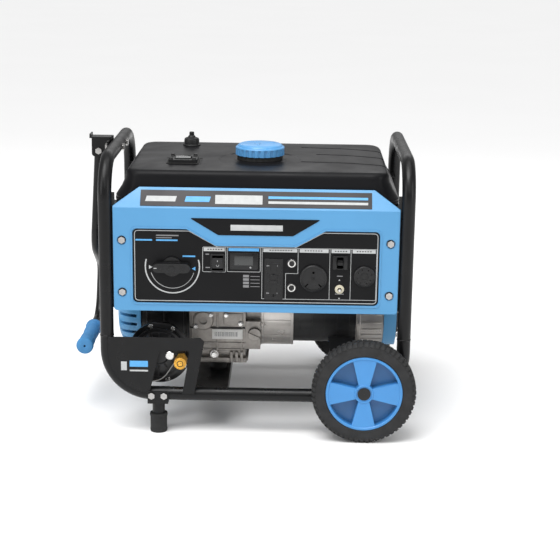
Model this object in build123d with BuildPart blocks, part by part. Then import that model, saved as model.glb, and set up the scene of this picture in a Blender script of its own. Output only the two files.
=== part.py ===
from build123d import *
import os
from math import cos, radians, sin, sqrt

# Portable open-frame generator, in millimetres.
# +X runs from the recoil starter to the wheels, -Y is the control panel's side, +Z is up.
# The origin is on the floor, under the middle of the whole machine.

os.makedirs("parts", exist_ok=True)

# ---------------------------------------------------------------- driving dimensions

# Tube frame
post_spacing_x = 616.0  # between the two end hoops
post_spacing_y = 443.0  # between front and rear posts
frame_height = 586.0  # floor to the top of the hoops
tube_d = 28.0
tube_wall = 2.0
hoop_bend_r = 75.0
axle_over_rail = 25.0  # axle's centre line over the bottom rails'
rail_bend_r = 95.0
rail_joint_rise = 126.0  # rails' centre line to their weld with the hoops
channel_depth = 24.0
channel_wall = 3.0
channel_sink = 3.0  # channels' tops under the rails' tops
engine_channel_width = 70.0
engine_channel_shift = -8.0  # from the crankcase's centre
alternator_channel_width = 42.0

# Wheels and axle
wheel_d = 216.0
tyre_width = 42.0
tyre_shoulder_r = 9.0
wheel_gap = 4.5  # tyre to bottom rail
rim_d = 158.0
rim_width = 39.0
rim_wall = 6.0
rim_web = 4.0
hub_d = 40.0
hub_width = 38.0
spoke_count = 4
spoke_root_width = 22.0
spoke_tip_width = 50.0
axle_d = 16.0
axle_inset = 82.0  # wheel centre to the right posts
axle_end = 2.0  # axle's ends inside the hubs' outer faces
axle_bracket_width = 36.0
axle_bracket_thick = 24.0
axle_bracket_cover = 6.0
running_clearance = 0.08

# Feet
foot_inset = 106.0  # foot centre to the left posts
foot_d = 35.0
foot_height = 40.0
foot_socket_depth = 26.0
leg_d = 26.0
foot_bracket_width = 43.0
foot_bracket_plate = 4.0
foot_bracket_rise = 27.0
foot_bolt_spacing = 26.0

# Fasteners
bolt_d = 8.0
bolt_head_af = 13.0
bolt_head_height = 5.0

# Transport handle
handle_tube_d = 22.0
handle_tube_wall = 2.0
handle_pivot_out = 39.0  # pivot axis outside the left hoop
handle_pivot_drop = 26.0  # pivot axis below the frame's top
handle_reach = 410.0  # pivot axis to grip axis
handle_tilt = 3.4  # degrees from vertical when it hangs
handle_offset = 130.0  # sideways step that centres the grip
handle_step_top = 215.0
handle_step_bottom = 290.0
handle_step_r = 60.0
handle_corner_r = 42.0
handle_end_above = 12.0
grip_d = 37.0
grip_length = 150.0
grip_end_y = -120.0
grip_end_wall = 5.0
grip_vent_d = 5.0
bracket_plate = 3.0
bracket_side_gap = 2.0
bracket_out = 15.0
bracket_ear_depth = 40.0
bracket_web_length = 92.0
bracket_web_height = 26.0
bracket_bolt_y = 33.0
bracket_lip = 9.0
bracket_over_hoop = 1.0

# Engine
crank_height = 103.0  # engine's base to the crank axis
engine_x_offset = -84.5  # crankcase centre from the frame's middle
crankcase_width = 121.0
crankcase_front = 112.0
crankcase_foot_height = 8.0
crankcase_foot_rim = 5.0
cylinder_tilt = 25.0  # degrees above level
cylinder_face = 75.0  # crank axis to the cylinder's joint face
cylinder_face_half = 65.0
crankcase_top = 90.6
crankcase_shoulder = 60.0
crankcase_corner_r = 14.0
crank_chamber_d = 108.0
crankcase_wall = 8.0
cover_width = 32.0
cover_d = 184.0
cover_boss_width = 62.0
cover_boss_drop = 41.0
oil_plug_from_case = 19.5
oil_plug_drop = 37.5  # under the crank axis
cylinder_bore = 70.0
bore_depth = 92.0
barrel_d = 92.0
fin_size = 108.0
fin_count = 11
fin_pitch = 8.4
fin_thick = 3.2
head_thick = 27.0
head_cover_thick = 24.0
head_cover_inset = 12.0
oil_plug_d = 27.0
oil_plug_thick = 8.0
oil_plug_slot = 3.0
oil_plug_slot_tilt = 25.0
oil_plug_stem_d = 16.0
oil_plug_stem = 20.0
blower_d = 180.0
blower_wall = 2.5
blower_length = 107.0
blower_hole_d = 70.0
recoil_d = 188.0
recoil_depth = 52.0
recoil_round = 30.0
recoil_wall = 2.5
recoil_taper = 30.0  # degrees
recoil_slots = 18
recoil_slot_width = 7.0
recoil_slot_inner = 45.0
recoil_slot_length = 26.0
recoil_rope_z = 84.0  # rope exit above the crank axis
recoil_rope_y = 84.0
rope_boss_d = 24.0
rope_hole_d = 8.0
recoil_grip_length = 52.0
recoil_grip_depth = 18.0
recoil_grip_thick = 18.0
recoil_plug_d = 7.0
recoil_plug_length = 12.0
flywheel_d = 164.0
flywheel_width = 32.0
flywheel_gap = 32.0  # flywheel to the crankcase
flywheel_fins = 14
flywheel_fin_height = 16.0
flywheel_fin_thick = 4.0
flywheel_fin_length = 26.0
journal_d = 35.0
crank_nose_d = 24.0
crank_web_d = 90.0
crank_web_thick = 15.0
crank_throw = 27.0
crank_pin_d = 30.0
crank_web_spacing = 60.0
rotor_shaft_d = 30.0
carb_body_d = 40.0
carb_length = 42.0
carb_bowl_d = 36.0
carb_bowl_depth = 30.0
carb_horn_d = 30.0
filter_length = 140.0
filter_depth = 125.0
filter_height = 108.0
filter_round = 14.0
filter_rise = 122.0  # crank axis to the filter's underside
filter_rear = 195.0
muffler_length = 190.0
muffler_depth = 108.0
muffler_height = 98.0
muffler_round = 26.0
muffler_edge_r = 3.0
muffler_rise = 110.0  # crank axis to the muffler's underside
muffler_rear = 196.0
muffler_x_offset = 105.0
exhaust_d = 28.0
exhaust_sink = 3.0
exhaust_bend_r = 25.0
exhaust_out = 70.0

# Alternator
bell_lip = 7.0  # bell's outside past the stator's
bell_length = 71.0
bell_wall = 9.0
stator_d = 164.0
stator_length = 136.0
stator_bore = 116.0
rotor_gap = 2.0
rotor_length = 106.0
rotor_slot_width = 16.0
rotor_slot_depth = 16.0
alternator_cover_lip = 1.0  # cover's outside past the stator's
alternator_cover_length = 66.0
alternator_cover_wall = 3.0
bearing_hub_d = 52.0
bearing_hub_length = 16.0
end_cap_lap = 6.0  # end cap over the cover
end_cap_length = 21.0
end_cap_wall = 4.0
end_cap_slots = 16
end_cap_slot_width = 6.0
end_cap_slot_radius = 55.0
end_cap_slot_length = 34.0
alternator_foot_x_offset = 186.0
saddle_left = 32.0
saddle_right = 30.0
saddle_bottom = 48.0
saddle_plate = 5.0
saddle_inset = 24.0  # saddle's sides inside the stator's
saddle_lap = 30.0  # saddle's top over the stator's lowest line

# Rubber mounts
mount_d = 38.0
mount_height = 23.0
engine_mount_y = 72.0
alternator_mount_y = 48.0

# Fuel tank
tank_below_top = 32.0  # tank's top under the hoops' top
tank_height = 72.0
tank_skirt_height = 14.0
tank_crown_height = 9.0
tank_side_gap = 2.0  # skirt to the hoops' inner faces
tank_end_gap = 9.5  # skirt to the front and rear posts
tank_flare_x = 24.0
tank_flare_y = 6.0
tank_corner_r = 40.0
tank_edge_r = 7.0
tank_wall = 2.0
tank_bracket_x = 57.0
tank_bracket_start = 18.0  # post's centre to the pad
tank_bracket_y = 44.0
tank_bracket_thick = 4.0
neck_d = 56.0
cap_x_offset = 2.0
cap_y = -50.0
cap_d = 104.0
cap_height = 18.0
cap_edge_r = 4.0
cap_flutes = 24
cap_flute_depth = 2.2
cap_flute_r = 4.4
cap_gap = 0.4
seal_d = 97.0
seal_height = 9.0
seal_plug_clearance = 0.6
seal_plug_depth = 18.0
gauge_x_offset = -158.0
gauge_y = -92.0
gauge_size = 60.0
gauge_height = 7.0
gauge_corner_r = 7.0
gauge_window = 36.0
gauge_window_depth = 3.0
gauge_float_d = 12.0
gauge_float_length = 50.0
vent_x_offset = -156.0
vent_y = 118.0
vent_d = 38.0
vent_height = 17.0
vent_nozzle_d = 11.0
vent_nozzle_height = 13.0

# Control panel
bezel_gap = 2.5  # bezel to the posts' inner faces
bezel_height = 216.0
bezel_top_drop = 106.0  # fold line under the frame's top
bezel_proud = 6.5  # bezel's face in front of the front posts' centre lines
bezel_wall = 3.0
bezel_rim = 23.0
facet_rise = 38.0
facet_back = 28.0
facet_corner_x = 52.0
facet_corner_z = 35.0
bezel_corner_r = 7.0
faceplate_side = 252.0
faceplate_bottom = 17.0  # above the bezel's lower edge
faceplate_height = 156.0
faceplate_notch_depth = 34.0
faceplate_notch_top = 139.0
faceplate_notch_bottom = 80.0
faceplate_corner_r = 10.0
faceplate_lap = 7.0
faceplate_thick = 2.5
box_inset = 6.0
box_depth = 84.0
box_wall = 2.0
bezel_bolt_x = 274.0
bezel_bolt_low = 39.0
bezel_bolt_high = 148.5
bezel_bolt_recess_d = 19.0

# Things on the control panel, from the frame's middle and the bezel's lower edge
control_gap = 0.3
selector_at = (-171.5, 94.5)
selector_bar_length = 76.0
selector_bar_width = 19.0
selector_bar_height = 20.0
selector_disc_d = 40.0
selector_disc_height = 6.0
selector_shaft_d = 10.0
selector_shaft_length = 20.0
switch_at = (-78.5, 103.0)
switch_width = 22.0
switch_height = 31.0
switch_proud = 4.0
switch_depth = 10.0
socket_depth = 34.0
gfci_at = (36.5, 70.0)
gfci_width = 38.0
gfci_height = 86.0
gfci_proud = 1.5
outlet_spacing = 44.0
blade_width = 2.4
blade_height = 9.0
blade_spacing = 12.7
blade_depth = 14.0
ground_pin_d = 5.0
ground_drop = 12.0
key_blade_tilt = 45.0
key_blade_side = 14.0
key_blade_drop = 15.0
button_width = 15.0
button_height = 7.0
button_pitch = 11.0
button_depth = 9.0
button_proud = 1.6
breaker_x = 73.4
breaker_low = 53.0
breaker_high = 104.5
breaker_collar_d = 16.0
breaker_collar_proud = 3.0
breaker_button_d = 10.0
breaker_button_proud = 5.0
breaker_button_depth = 12.0
round_socket_at = (118.0, 74.0)
round_socket_d = 56.0
round_socket_proud = 4.0
lever_at = (172.0, 108.0)
lever_width = 11.0
lever_length = 17.0
lever_thick = 6.0
lever_barrel_d = 11.0
lever_slot_height = 22.0
toggle_at = (172.0, 51.0)
toggle_ball_d = 7.0
toggle_stem_d = 5.0
toggle_stem = 11.0
toggle_hole_d = 9.5
twist_socket_at = (222.4, 79.0)
twist_socket_d = 44.0
twist_socket_proud = 3.0
twist_slot_radius = 15.0
twist_slot_width = 3.0
twist_slot_sweep = 38.0
twist_slot_count = 4

# Gas connection
gas_plate_thick = 2.5
gas_plate_proud = 16.0  # plate's face in front of the rail's centre line
gas_plate_rise = 126.0  # rails' centre line to the plate's top
gas_plate_right = 203.0  # from the left posts, at the top
gas_plate_slant = 21.0
gas_plate_chamfer = 8.0
window_rise = 98.0  # rails' centre line to the window's top
window_overrun = 7.0
window_left_top = 110.0
window_right_top = 173.0
window_left_bottom = 87.0
window_right_bottom = 156.0
window_corner_r = 6.0
regulator_inset = 104.0
regulator_rise = 74.0  # over the rails' centre line
regulator_d = 132.0
regulator_flange = 8.0
regulator_body_d = 112.0
regulator_front = 185.0
regulator_depth = 52.0
regulator_leg_d = 12.0
regulator_leg_angles = (110.0, 190.0)
inlet_inset = 151.5
inlet_rise = 65.0  # over the rails' centre line
inlet_hex_af = 22.0
inlet_hex_length = 12.0
inlet_nose_d = 15.0
inlet_nose_length = 22.0
gas_cap_d = 25.0
gas_cap_wall_clearance = 0.35
leash_d = 2.4
leash_ring_d = 22.0
leash_ring_thick = 3.0
leash_bend_r = 24.0
leash_button_d = 11.0
leash_button_rise = 22.0

# ---------------------------------------------------------------- shared places

grip_drop_x = handle_reach * sin(radians(handle_tilt))
left_extent = post_spacing_x / 2 + handle_pivot_out + grip_drop_x + grip_d / 2
right_extent = post_spacing_x / 2 - axle_inset + wheel_d / 2
mid_x = (left_extent - right_extent) / 2
left_x = mid_x - post_spacing_x / 2
right_x = mid_x + post_spacing_x / 2
front_y = -post_spacing_y / 2
rear_y = post_spacing_y / 2
tube_r = tube_d / 2
hoop_z = frame_height - tube_r
wheel_r = wheel_d / 2
rail_z = wheel_r - axle_over_rail
rail_joint_z = rail_z + rail_joint_rise
axle_x = right_x - axle_inset
wheel_y = post_spacing_y / 2 + tube_r + wheel_gap + tyre_width / 2
foot_x = left_x + foot_inset
channel_top_z = rail_z + tube_r - channel_sink
engine_base_z = channel_top_z + mount_height
crank_z = engine_base_z + crank_height
filter_z = crank_z + filter_rise
muffler_z = crank_z + muffler_rise
gas_plate_top = rail_z + gas_plate_rise
window_top = rail_z + window_rise
regulator_z = rail_z + regulator_rise
inlet_z = rail_z + inlet_rise
engine_x = mid_x + engine_x_offset
case_left = engine_x - crankcase_width / 2
case_right = engine_x + crankcase_width / 2
cover_right = case_right + cover_width
bell_right = cover_right + bell_length
stator_right = bell_right + stator_length
alternator_right = stator_right + alternator_cover_length
alternator_foot_x = mid_x + alternator_foot_x_offset
blower_left = case_left - blower_length
bell_d = stator_d + 2 * bell_lip
rotor_d = stator_bore - 2 * rotor_gap
alternator_cover_d = stator_d + 2 * alternator_cover_lip
end_cap_d = alternator_cover_d + 2 * end_cap_wall


def front_plane(y):
    """A plane that faces the control panel's side, with its sketch in X and Z."""
    return Plane.XZ.offset(-y)


def across_plane(x):
    """A plane across the crankshaft, with its sketch in Y and Z."""
    return Plane.YZ.offset(x)


def crank_plane(x):
    """A plane across the crankshaft, centred on it."""
    return Plane(origin=(x, 0, crank_z), x_dir=(0, 1, 0), z_dir=(1, 0, 0))


# ---------------------------------------------------------------- tube frame

for side, x in (("left", left_x), ("right", right_x)):
    with BuildPart() as hoop:
        with BuildLine(across_plane(x)) as route:
            FilletPolyline(
                (front_y, rail_joint_z),
                (front_y, hoop_z),
                (rear_y, hoop_z),
                (rear_y, rail_joint_z),
                radius=hoop_bend_r,
            )
        with BuildSketch(Plane(origin=route.line @ 0, z_dir=route.line % 0)):
            Circle(tube_r)
            Circle(tube_r - tube_wall, mode=Mode.SUBTRACT)
        sweep(path=route.line)
        if side == "left":
            with BuildSketch(across_plane(x)):
                with Locations((-bracket_bolt_y, hoop_z), (bracket_bolt_y, hoop_z)):
                    Circle(bolt_d / 2)
            extrude(amount=tube_d, both=True, mode=Mode.SUBTRACT)
    hoop.part.label = f"{side}_hoop"
    export_step(hoop.part, f"parts/{side}_hoop.step")


def rail_form(y, radius):
    """A round bar along a bottom rail's route, bends and all."""
    with BuildPart() as form:
        with BuildLine(front_plane(y)) as route:
            FilletPolyline(
                (left_x, rail_joint_z),
                (left_x, rail_z),
                (right_x, rail_z),
                (right_x, rail_joint_z),
                radius=rail_bend_r,
            )
        with BuildSketch(Plane(origin=route.line @ 0, z_dir=route.line % 0)):
            Circle(radius)
        sweep(path=route.line)
    return form.part


for side, y in (("front", front_y), ("rear", rear_y)):
    with BuildPart() as rail:
        add(rail_form(y, tube_r))
        add(rail_form(y, tube_r - tube_wall), mode=Mode.SUBTRACT)
        with BuildSketch(front_plane(y)):
            with Locations((foot_x, rail_z)):
                with GridLocations(foot_bolt_spacing, 0, 2, 1):
                    Circle(bolt_d / 2)
        extrude(amount=tube_d, both=True, mode=Mode.SUBTRACT)
    rail.part.label = f"{side}_rail"
    export_step(rail.part, f"parts/{side}_rail.step")

with BuildPart() as cross_members:
    for x, width in (
        (engine_x + engine_channel_shift, engine_channel_width),
        (alternator_foot_x, alternator_channel_width),
    ):
        with BuildSketch(front_plane(0)):
            with Locations((x, channel_top_z - channel_depth / 2)):
                Rectangle(width, channel_depth)
            with Locations((x, channel_top_z - channel_wall - channel_depth / 2)):
                Rectangle(width - 2 * channel_wall, channel_depth, mode=Mode.SUBTRACT)
        extrude(amount=post_spacing_y / 2, both=True)
    for y in (front_y, rear_y):
        with BuildSketch(Plane(origin=(0, y, rail_z), x_dir=(0, 1, 0), z_dir=(1, 0, 0))):
            Circle(tube_r)
        extrude(amount=post_spacing_x, both=True, mode=Mode.SUBTRACT)
cross_members.part.label = "cross_members"
export_step(cross_members.part, "parts/cross_members.step")

# ---------------------------------------------------------------- axle and wheels

hub_face_y = wheel_y + hub_width / 2

with BuildPart() as axle:
    with BuildSketch(front_plane(0)):
        with Locations((axle_x, wheel_r)):
            Circle(axle_d / 2)
    extrude(amount=hub_face_y - axle_end, both=True)
axle.part.label = "axle"
export_step(axle.part, "parts/axle.step")

axle_bracket_low = rail_z + tube_r / 2
axle_bracket_high = wheel_r + axle_d / 2 + axle_bracket_cover

with BuildPart() as axle_brackets:
    for y in (front_y, rear_y):
        with BuildSketch(front_plane(y)):
            with Locations((axle_x, (axle_bracket_low + axle_bracket_high) / 2)):
                Rectangle(axle_bracket_width, axle_bracket_high - axle_bracket_low)
            with Locations((axle_x, wheel_r)):
                Circle(axle_d / 2, mode=Mode.SUBTRACT)
        extrude(amount=axle_bracket_thick / 2, both=True)
        add(rail_form(y, tube_r), mode=Mode.SUBTRACT)
axle_brackets.part.label = "axle_brackets"
export_step(axle_brackets.part, "parts/axle_brackets.step")

for side, sign in (("front", -1), ("rear", 1)):
    wheel_centre = (axle_x, sign * wheel_y, wheel_r)
    wheel_profile = Plane(origin=wheel_centre, x_dir=(0, sign, 0), z_dir=(sign, 0, 0))
    wheel_axis = Axis(wheel_centre, (0, 1, 0))
    with BuildPart() as tyre:
        with BuildSketch(wheel_profile):
            with Locations((0, (wheel_r + rim_d / 2) / 2)):
                Rectangle(tyre_width, wheel_r - rim_d / 2)
            fillet(vertices().group_by(Axis.Y)[-1], tyre_shoulder_r)
        revolve(axis=wheel_axis)
    tyre.part.label = f"{side}_tyre"
    export_step(tyre.part, f"parts/{side}_tyre.step")

    hub_bore_r = axle_d / 2 + running_clearance
    with BuildPart() as rim:
        with BuildSketch(wheel_profile):
            with Locations((0, rim_d / 2 - rim_wall / 2)):
                Rectangle(rim_width, rim_wall)
            with Locations((0, (hub_d + rim_d) / 4)):
                Rectangle(rim_web, (rim_d - hub_d) / 2)
            with Locations((0, (hub_bore_r + hub_d / 2) / 2)):
                Rectangle(hub_width, hub_d / 2 - hub_bore_r)
        revolve(axis=wheel_axis)
        with BuildSketch(Plane(origin=wheel_centre, x_dir=(1, 0, 0), z_dir=(0, sign, 0))):
            with PolarLocations(0, spoke_count):
                Polygon(
                    (hub_d / 2 - rim_web, -spoke_root_width / 2),
                    (rim_d / 2 - rim_wall, -spoke_tip_width / 2),
                    (rim_d / 2 - rim_wall, spoke_tip_width / 2),
                    (hub_d / 2 - rim_web, spoke_root_width / 2),
                    align=None,
                )
        extrude(amount=rim_width / 2)
    rim.part.label = f"{side}_rim"
    export_step(rim.part, f"parts/{side}_rim.step")

# ---------------------------------------------------------------- feet

saddle_outer = tube_d + 2 * foot_bracket_plate
saddle_bottom_z = rail_z - tube_r - foot_bracket_plate

with BuildPart() as foot_brackets:
    for y in (front_y, rear_y):
        with BuildSketch(across_plane(foot_x)):
            with Locations((y, saddle_bottom_z + foot_bracket_rise / 2)):
                Rectangle(saddle_outer, foot_bracket_rise)
            with Locations((y, rail_z - tube_r + foot_bracket_rise / 2)):
                Rectangle(tube_d, foot_bracket_rise, mode=Mode.SUBTRACT)
        extrude(amount=foot_bracket_width / 2, both=True)
        with BuildSketch(front_plane(y)):
            with Locations((foot_x, rail_z)):
                with GridLocations(foot_bolt_spacing, 0, 2, 1):
                    Circle(bolt_d / 2)
        extrude(amount=saddle_outer, both=True, mode=Mode.SUBTRACT)
        with BuildSketch(Plane((foot_x, y, foot_height - foot_socket_depth))):
            Circle(leg_d / 2)
        extrude(until=Until.NEXT, target=foot_brackets.part)
foot_brackets.part.label = "foot_brackets"
export_step(foot_brackets.part, "parts/foot_brackets.step")

with BuildPart() as rubber_feet:
    for y in (front_y, rear_y):
        with BuildSketch(Plane((foot_x, y, 0))):
            Circle(foot_d / 2)
        extrude(amount=foot_height)
        with BuildSketch(Plane((foot_x, y, foot_height - foot_socket_depth))):
            Circle(leg_d / 2)
        extrude(amount=foot_socket_depth, mode=Mode.SUBTRACT)
rubber_feet.part.label = "rubber_feet"
export_step(rubber_feet.part, "parts/rubber_feet.step")

# ---------------------------------------------------------------- transport handle

pivot_x = left_x - handle_pivot_out
pivot_z = frame_height - handle_pivot_drop
tilt = radians(handle_tilt)
handle_plane = Plane(origin=(pivot_x, 0, pivot_z), x_dir=(0, 1, 0), z_dir=(cos(tilt), 0, -sin(tilt)))
ear_inner_y = handle_tube_d / 2 + bracket_side_gap
ear_outer_y = ear_inner_y + bracket_plate
bracket_left = pivot_x - bracket_out
hoop_left = left_x - tube_r

with BuildPart() as handle_tube:
    with BuildLine(handle_plane) as route:
        FilletPolyline(
            (0, handle_end_above),
            (0, -handle_step_top),
            (handle_offset, -handle_step_bottom),
            (handle_offset, -handle_reach),
            (grip_end_y + grip_end_wall, -handle_reach),
            radius=[handle_step_r, handle_step_r, handle_corner_r],
        )
    with BuildSketch(Plane(origin=route.line @ 0, z_dir=route.line % 0)):
        Circle(handle_tube_d / 2)
        Circle(handle_tube_d / 2 - handle_tube_wall, mode=Mode.SUBTRACT)
    sweep(path=route.line)
    with BuildSketch(front_plane(0)):
        with Locations((pivot_x, pivot_z)):
            Circle(bolt_d / 2 + running_clearance)
    extrude(amount=handle_tube_d, both=True, mode=Mode.SUBTRACT)
handle_tube.part.label = "handle_tube"
export_step(handle_tube.part, "parts/handle_tube.step")

grip_x = pivot_x - grip_drop_x
grip_z = pivot_z - handle_reach * cos(tilt)

with BuildPart() as handle_grip:
    with BuildSketch(front_plane(grip_end_y)):
        with Locations((grip_x, grip_z)):
            Circle(grip_d / 2)
    extrude(amount=-grip_length)
    with BuildSketch(front_plane(grip_end_y + grip_end_wall)):
        with Locations((grip_x, grip_z)):
            Circle(handle_tube_d / 2)
    extrude(amount=-grip_length, mode=Mode.SUBTRACT)
    with BuildSketch(front_plane(grip_end_y)):
        with Locations((grip_x, grip_z)):
            Circle(grip_vent_d / 2)
    extrude(amount=-grip_end_wall, mode=Mode.SUBTRACT)
handle_grip.part.label = "handle_grip"
export_step(handle_grip.part, "parts/handle_grip.step")

bracket_top_z = frame_height + bracket_over_hoop
ear_centre = ((bracket_left + hoop_left) / 2, bracket_top_z - bracket_ear_depth / 2)

with BuildPart() as handle_bracket:
    with BuildSketch(front_plane(0)):
        with Locations(ear_centre):
            Rectangle(hoop_left - bracket_left, bracket_ear_depth)
        fillet(vertices().group_by(Axis.Y)[0].sort_by(Axis.X)[0], bracket_out / 2)
    extrude(amount=ear_outer_y, both=True)
    with BuildSketch(front_plane(0)):
        with Locations((ear_centre[0] - bracket_plate, ear_centre[1])):
            Rectangle(hoop_left - bracket_left, 2 * bracket_ear_depth)
    extrude(amount=ear_inner_y, both=True, mode=Mode.SUBTRACT)
    with BuildSketch(across_plane(hoop_left - bracket_plate)):
        with Locations((0, hoop_z)):
            Rectangle(bracket_web_length, bracket_web_height)
        with Locations((-bracket_bolt_y, hoop_z), (bracket_bolt_y, hoop_z)):
            Circle(bolt_d / 2, mode=Mode.SUBTRACT)
    extrude(amount=bracket_plate)
    with BuildSketch(Plane.XY.offset(bracket_top_z)):
        with Locations(((bracket_left + hoop_left) / 2, 0)):
            Rectangle(hoop_left - bracket_left + bracket_plate, 2 * ear_outer_y)
    extrude(amount=bracket_plate)
    with BuildSketch(Plane.XY.offset(bracket_top_z)):
        with Locations((bracket_left - bracket_plate, 0)):
            Rectangle(bracket_plate, 2 * ear_outer_y)
    extrude(amount=bracket_lip)
    with BuildSketch(front_plane(0)):
        with Locations((pivot_x, pivot_z)):
            Circle(bolt_d / 2)
    extrude(amount=2 * ear_outer_y, both=True, mode=Mode.SUBTRACT)
handle_bracket.part.label = "handle_bracket"
export_step(handle_bracket.part, "parts/handle_bracket.step")

# ---------------------------------------------------------------- control panel places

bezel_half = post_spacing_x / 2 - tube_r - bezel_gap
bezel_fold_z = frame_height - bezel_top_drop
bezel_low_z = bezel_fold_z - bezel_height
face_y = front_y - bezel_proud
plate_front_y = face_y + bezel_wall
plate_back_y = plate_front_y + faceplate_thick
box_back_y = plate_back_y + box_depth


def panel_at(place, rise=0.0):
    """A place on the control panel, as X and Z."""
    return (mid_x + place[0], bezel_low_z + place[1] + rise)


# ---------------------------------------------------------------- fasteners

foot_bolt_length = tube_d + 2 * foot_bracket_plate
bracket_bolt_length = tube_d + bracket_plate
pivot_bolt_length = 2 * ear_outer_y
bezel_bolt_length = 12.0

bolt_list = []
for y, facing in ((front_y, -1), (rear_y, 1)):
    for step in (-foot_bolt_spacing / 2, foot_bolt_spacing / 2):
        head = (foot_x + step, y + facing * foot_bolt_length / 2, rail_z)
        bolt_list.append((head, (0, facing, 0), foot_bolt_length, True))
for y in (-bracket_bolt_y, bracket_bolt_y):
    bolt_list.append(((hoop_left - bracket_plate, y, hoop_z), (-1, 0, 0), bracket_bolt_length, True))
bolt_list.append(((pivot_x, -ear_outer_y, pivot_z), (0, -1, 0), pivot_bolt_length, True))
for x in (-bezel_bolt_x, bezel_bolt_x):
    for rise in (bezel_bolt_low, bezel_bolt_high):
        seat = (mid_x + x, plate_front_y, bezel_low_z + rise)
        bolt_list.append((seat, (0, -1, 0), bezel_bolt_length, False))

with BuildPart() as frame_bolts:
    for seat, outward, length, has_nut in bolt_list:
        seat_plane = Plane(origin=seat, z_dir=outward)
        with BuildSketch(seat_plane):
            RegularPolygon(bolt_head_af / 2, 6, major_radius=False)
        extrude(amount=bolt_head_height)
        with BuildSketch(seat_plane):
            Circle(bolt_d / 2)
        extrude(amount=-length)
        if has_nut:
            with BuildSketch(seat_plane.offset(-length)):
                RegularPolygon(bolt_head_af / 2, 6, major_radius=False)
            extrude(amount=-bolt_head_height)
frame_bolts.part.label = "frame_bolts"
export_step(frame_bolts.part, "parts/frame_bolts.step")

# ---------------------------------------------------------------- rubber mounts

with BuildPart() as vibration_mounts:
    for x, y in (
        (engine_x, -engine_mount_y),
        (engine_x, engine_mount_y),
        (alternator_foot_x, -alternator_mount_y),
        (alternator_foot_x, alternator_mount_y),
    ):
        with BuildSketch(Plane((x, y, channel_top_z))):
            Circle(mount_d / 2)
        extrude(amount=engine_base_z - channel_top_z)
vibration_mounts.part.label = "vibration_mounts"
export_step(vibration_mounts.part, "parts/vibration_mounts.step")

# ---------------------------------------------------------------- engine

lean = radians(cylinder_tilt)
cylinder_dir = (0, cos(lean), sin(lean))
face_centre_y = cylinder_face * cos(lean)
face_centre_z = crank_z + cylinder_face * sin(lean)
face_low = (face_centre_y + cylinder_face_half * sin(lean), face_centre_z - cylinder_face_half * cos(lean))
face_high = (face_centre_y - cylinder_face_half * sin(lean), face_centre_z + cylinder_face_half * cos(lean))
case_bottom_z = engine_base_z + crankcase_foot_height


def cylinder_plane(distance):
    """A plane across the cylinder, at a distance from the crank axis."""
    origin = (engine_x, distance * cos(lean), crank_z + distance * sin(lean))
    return Plane(origin=origin, x_dir=(1, 0, 0), z_dir=cylinder_dir)


with BuildPart() as crankcase:
    with BuildSketch(across_plane(case_left)):
        with BuildLine():
            Polyline(
                (-crankcase_front, case_bottom_z),
                (face_low[0], case_bottom_z),
                face_low,
                face_high,
                (-crankcase_shoulder, crank_z + crankcase_top),
                (-crankcase_front, crank_z + crankcase_top / 2),
                close=True,
            )
        make_face()
        fillet(vertices().sort_by(Axis.X)[0:2], crankcase_corner_r)
    extrude(amount=crankcase_width)
    with BuildSketch(Plane.XY.offset(engine_base_z)):
        with Locations((engine_x, 0)):
            Rectangle(
                crankcase_width + 2 * crankcase_foot_rim,
                2 * (crankcase_front - crankcase_corner_r),
            )
    extrude(amount=crankcase_foot_height)
    with BuildSketch(crank_plane(case_left + crankcase_wall)):
        Circle(crank_chamber_d / 2)
    extrude(amount=crankcase_width, mode=Mode.SUBTRACT)
    with BuildSketch(crank_plane(case_left)):
        Circle(journal_d / 2 + running_clearance)
    extrude(amount=crankcase_wall, mode=Mode.SUBTRACT)
    with BuildSketch(cylinder_plane(cylinder_face)):
        Circle(cylinder_bore / 2)
    extrude(amount=-cylinder_face, mode=Mode.SUBTRACT)
crankcase.part.label = "crankcase"
export_step(crankcase.part, "parts/crankcase.step")

plug_x = case_right + oil_plug_from_case
plug_z = crank_z - oil_plug_drop

with BuildPart() as crankcase_cover:
    with BuildSketch(crank_plane(case_right)):
        Circle(cover_d / 2)
        with Locations((-crankcase_front / 2, -cover_boss_drop)):
            Rectangle(crankcase_front, cover_boss_width)
        Circle(journal_d / 2 + running_clearance, mode=Mode.SUBTRACT)
    extrude(amount=cover_width)
    with BuildSketch(front_plane(-crankcase_front)):
        with Locations((plug_x, plug_z)):
            Circle(oil_plug_stem_d / 2 + control_gap)
    extrude(amount=-oil_plug_stem - control_gap, mode=Mode.SUBTRACT)
crankcase_cover.part.label = "crankcase_cover"
export_step(crankcase_cover.part, "parts/crankcase_cover.step")

with BuildPart() as oil_plug:
    with BuildSketch(front_plane(-crankcase_front - control_gap)):
        with Locations((plug_x, plug_z)):
            Circle(oil_plug_d / 2)
    extrude(amount=oil_plug_thick)
    with BuildSketch(front_plane(-crankcase_front - control_gap)):
        with Locations((plug_x, plug_z)):
            Circle(oil_plug_stem_d / 2)
    extrude(amount=-oil_plug_stem)
    with BuildSketch(front_plane(-crankcase_front - control_gap - oil_plug_thick)):
        with Locations(Location((plug_x, plug_z, 0), (0, 0, -oil_plug_slot_tilt))):
            Rectangle(oil_plug_d, oil_plug_slot)
    extrude(amount=-oil_plug_slot, mode=Mode.SUBTRACT)
oil_plug.part.label = "oil_plug"
export_step(oil_plug.part, "parts/oil_plug.step")

head_start = cylinder_face + bore_depth
head_cover_start = head_start + head_thick

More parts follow.
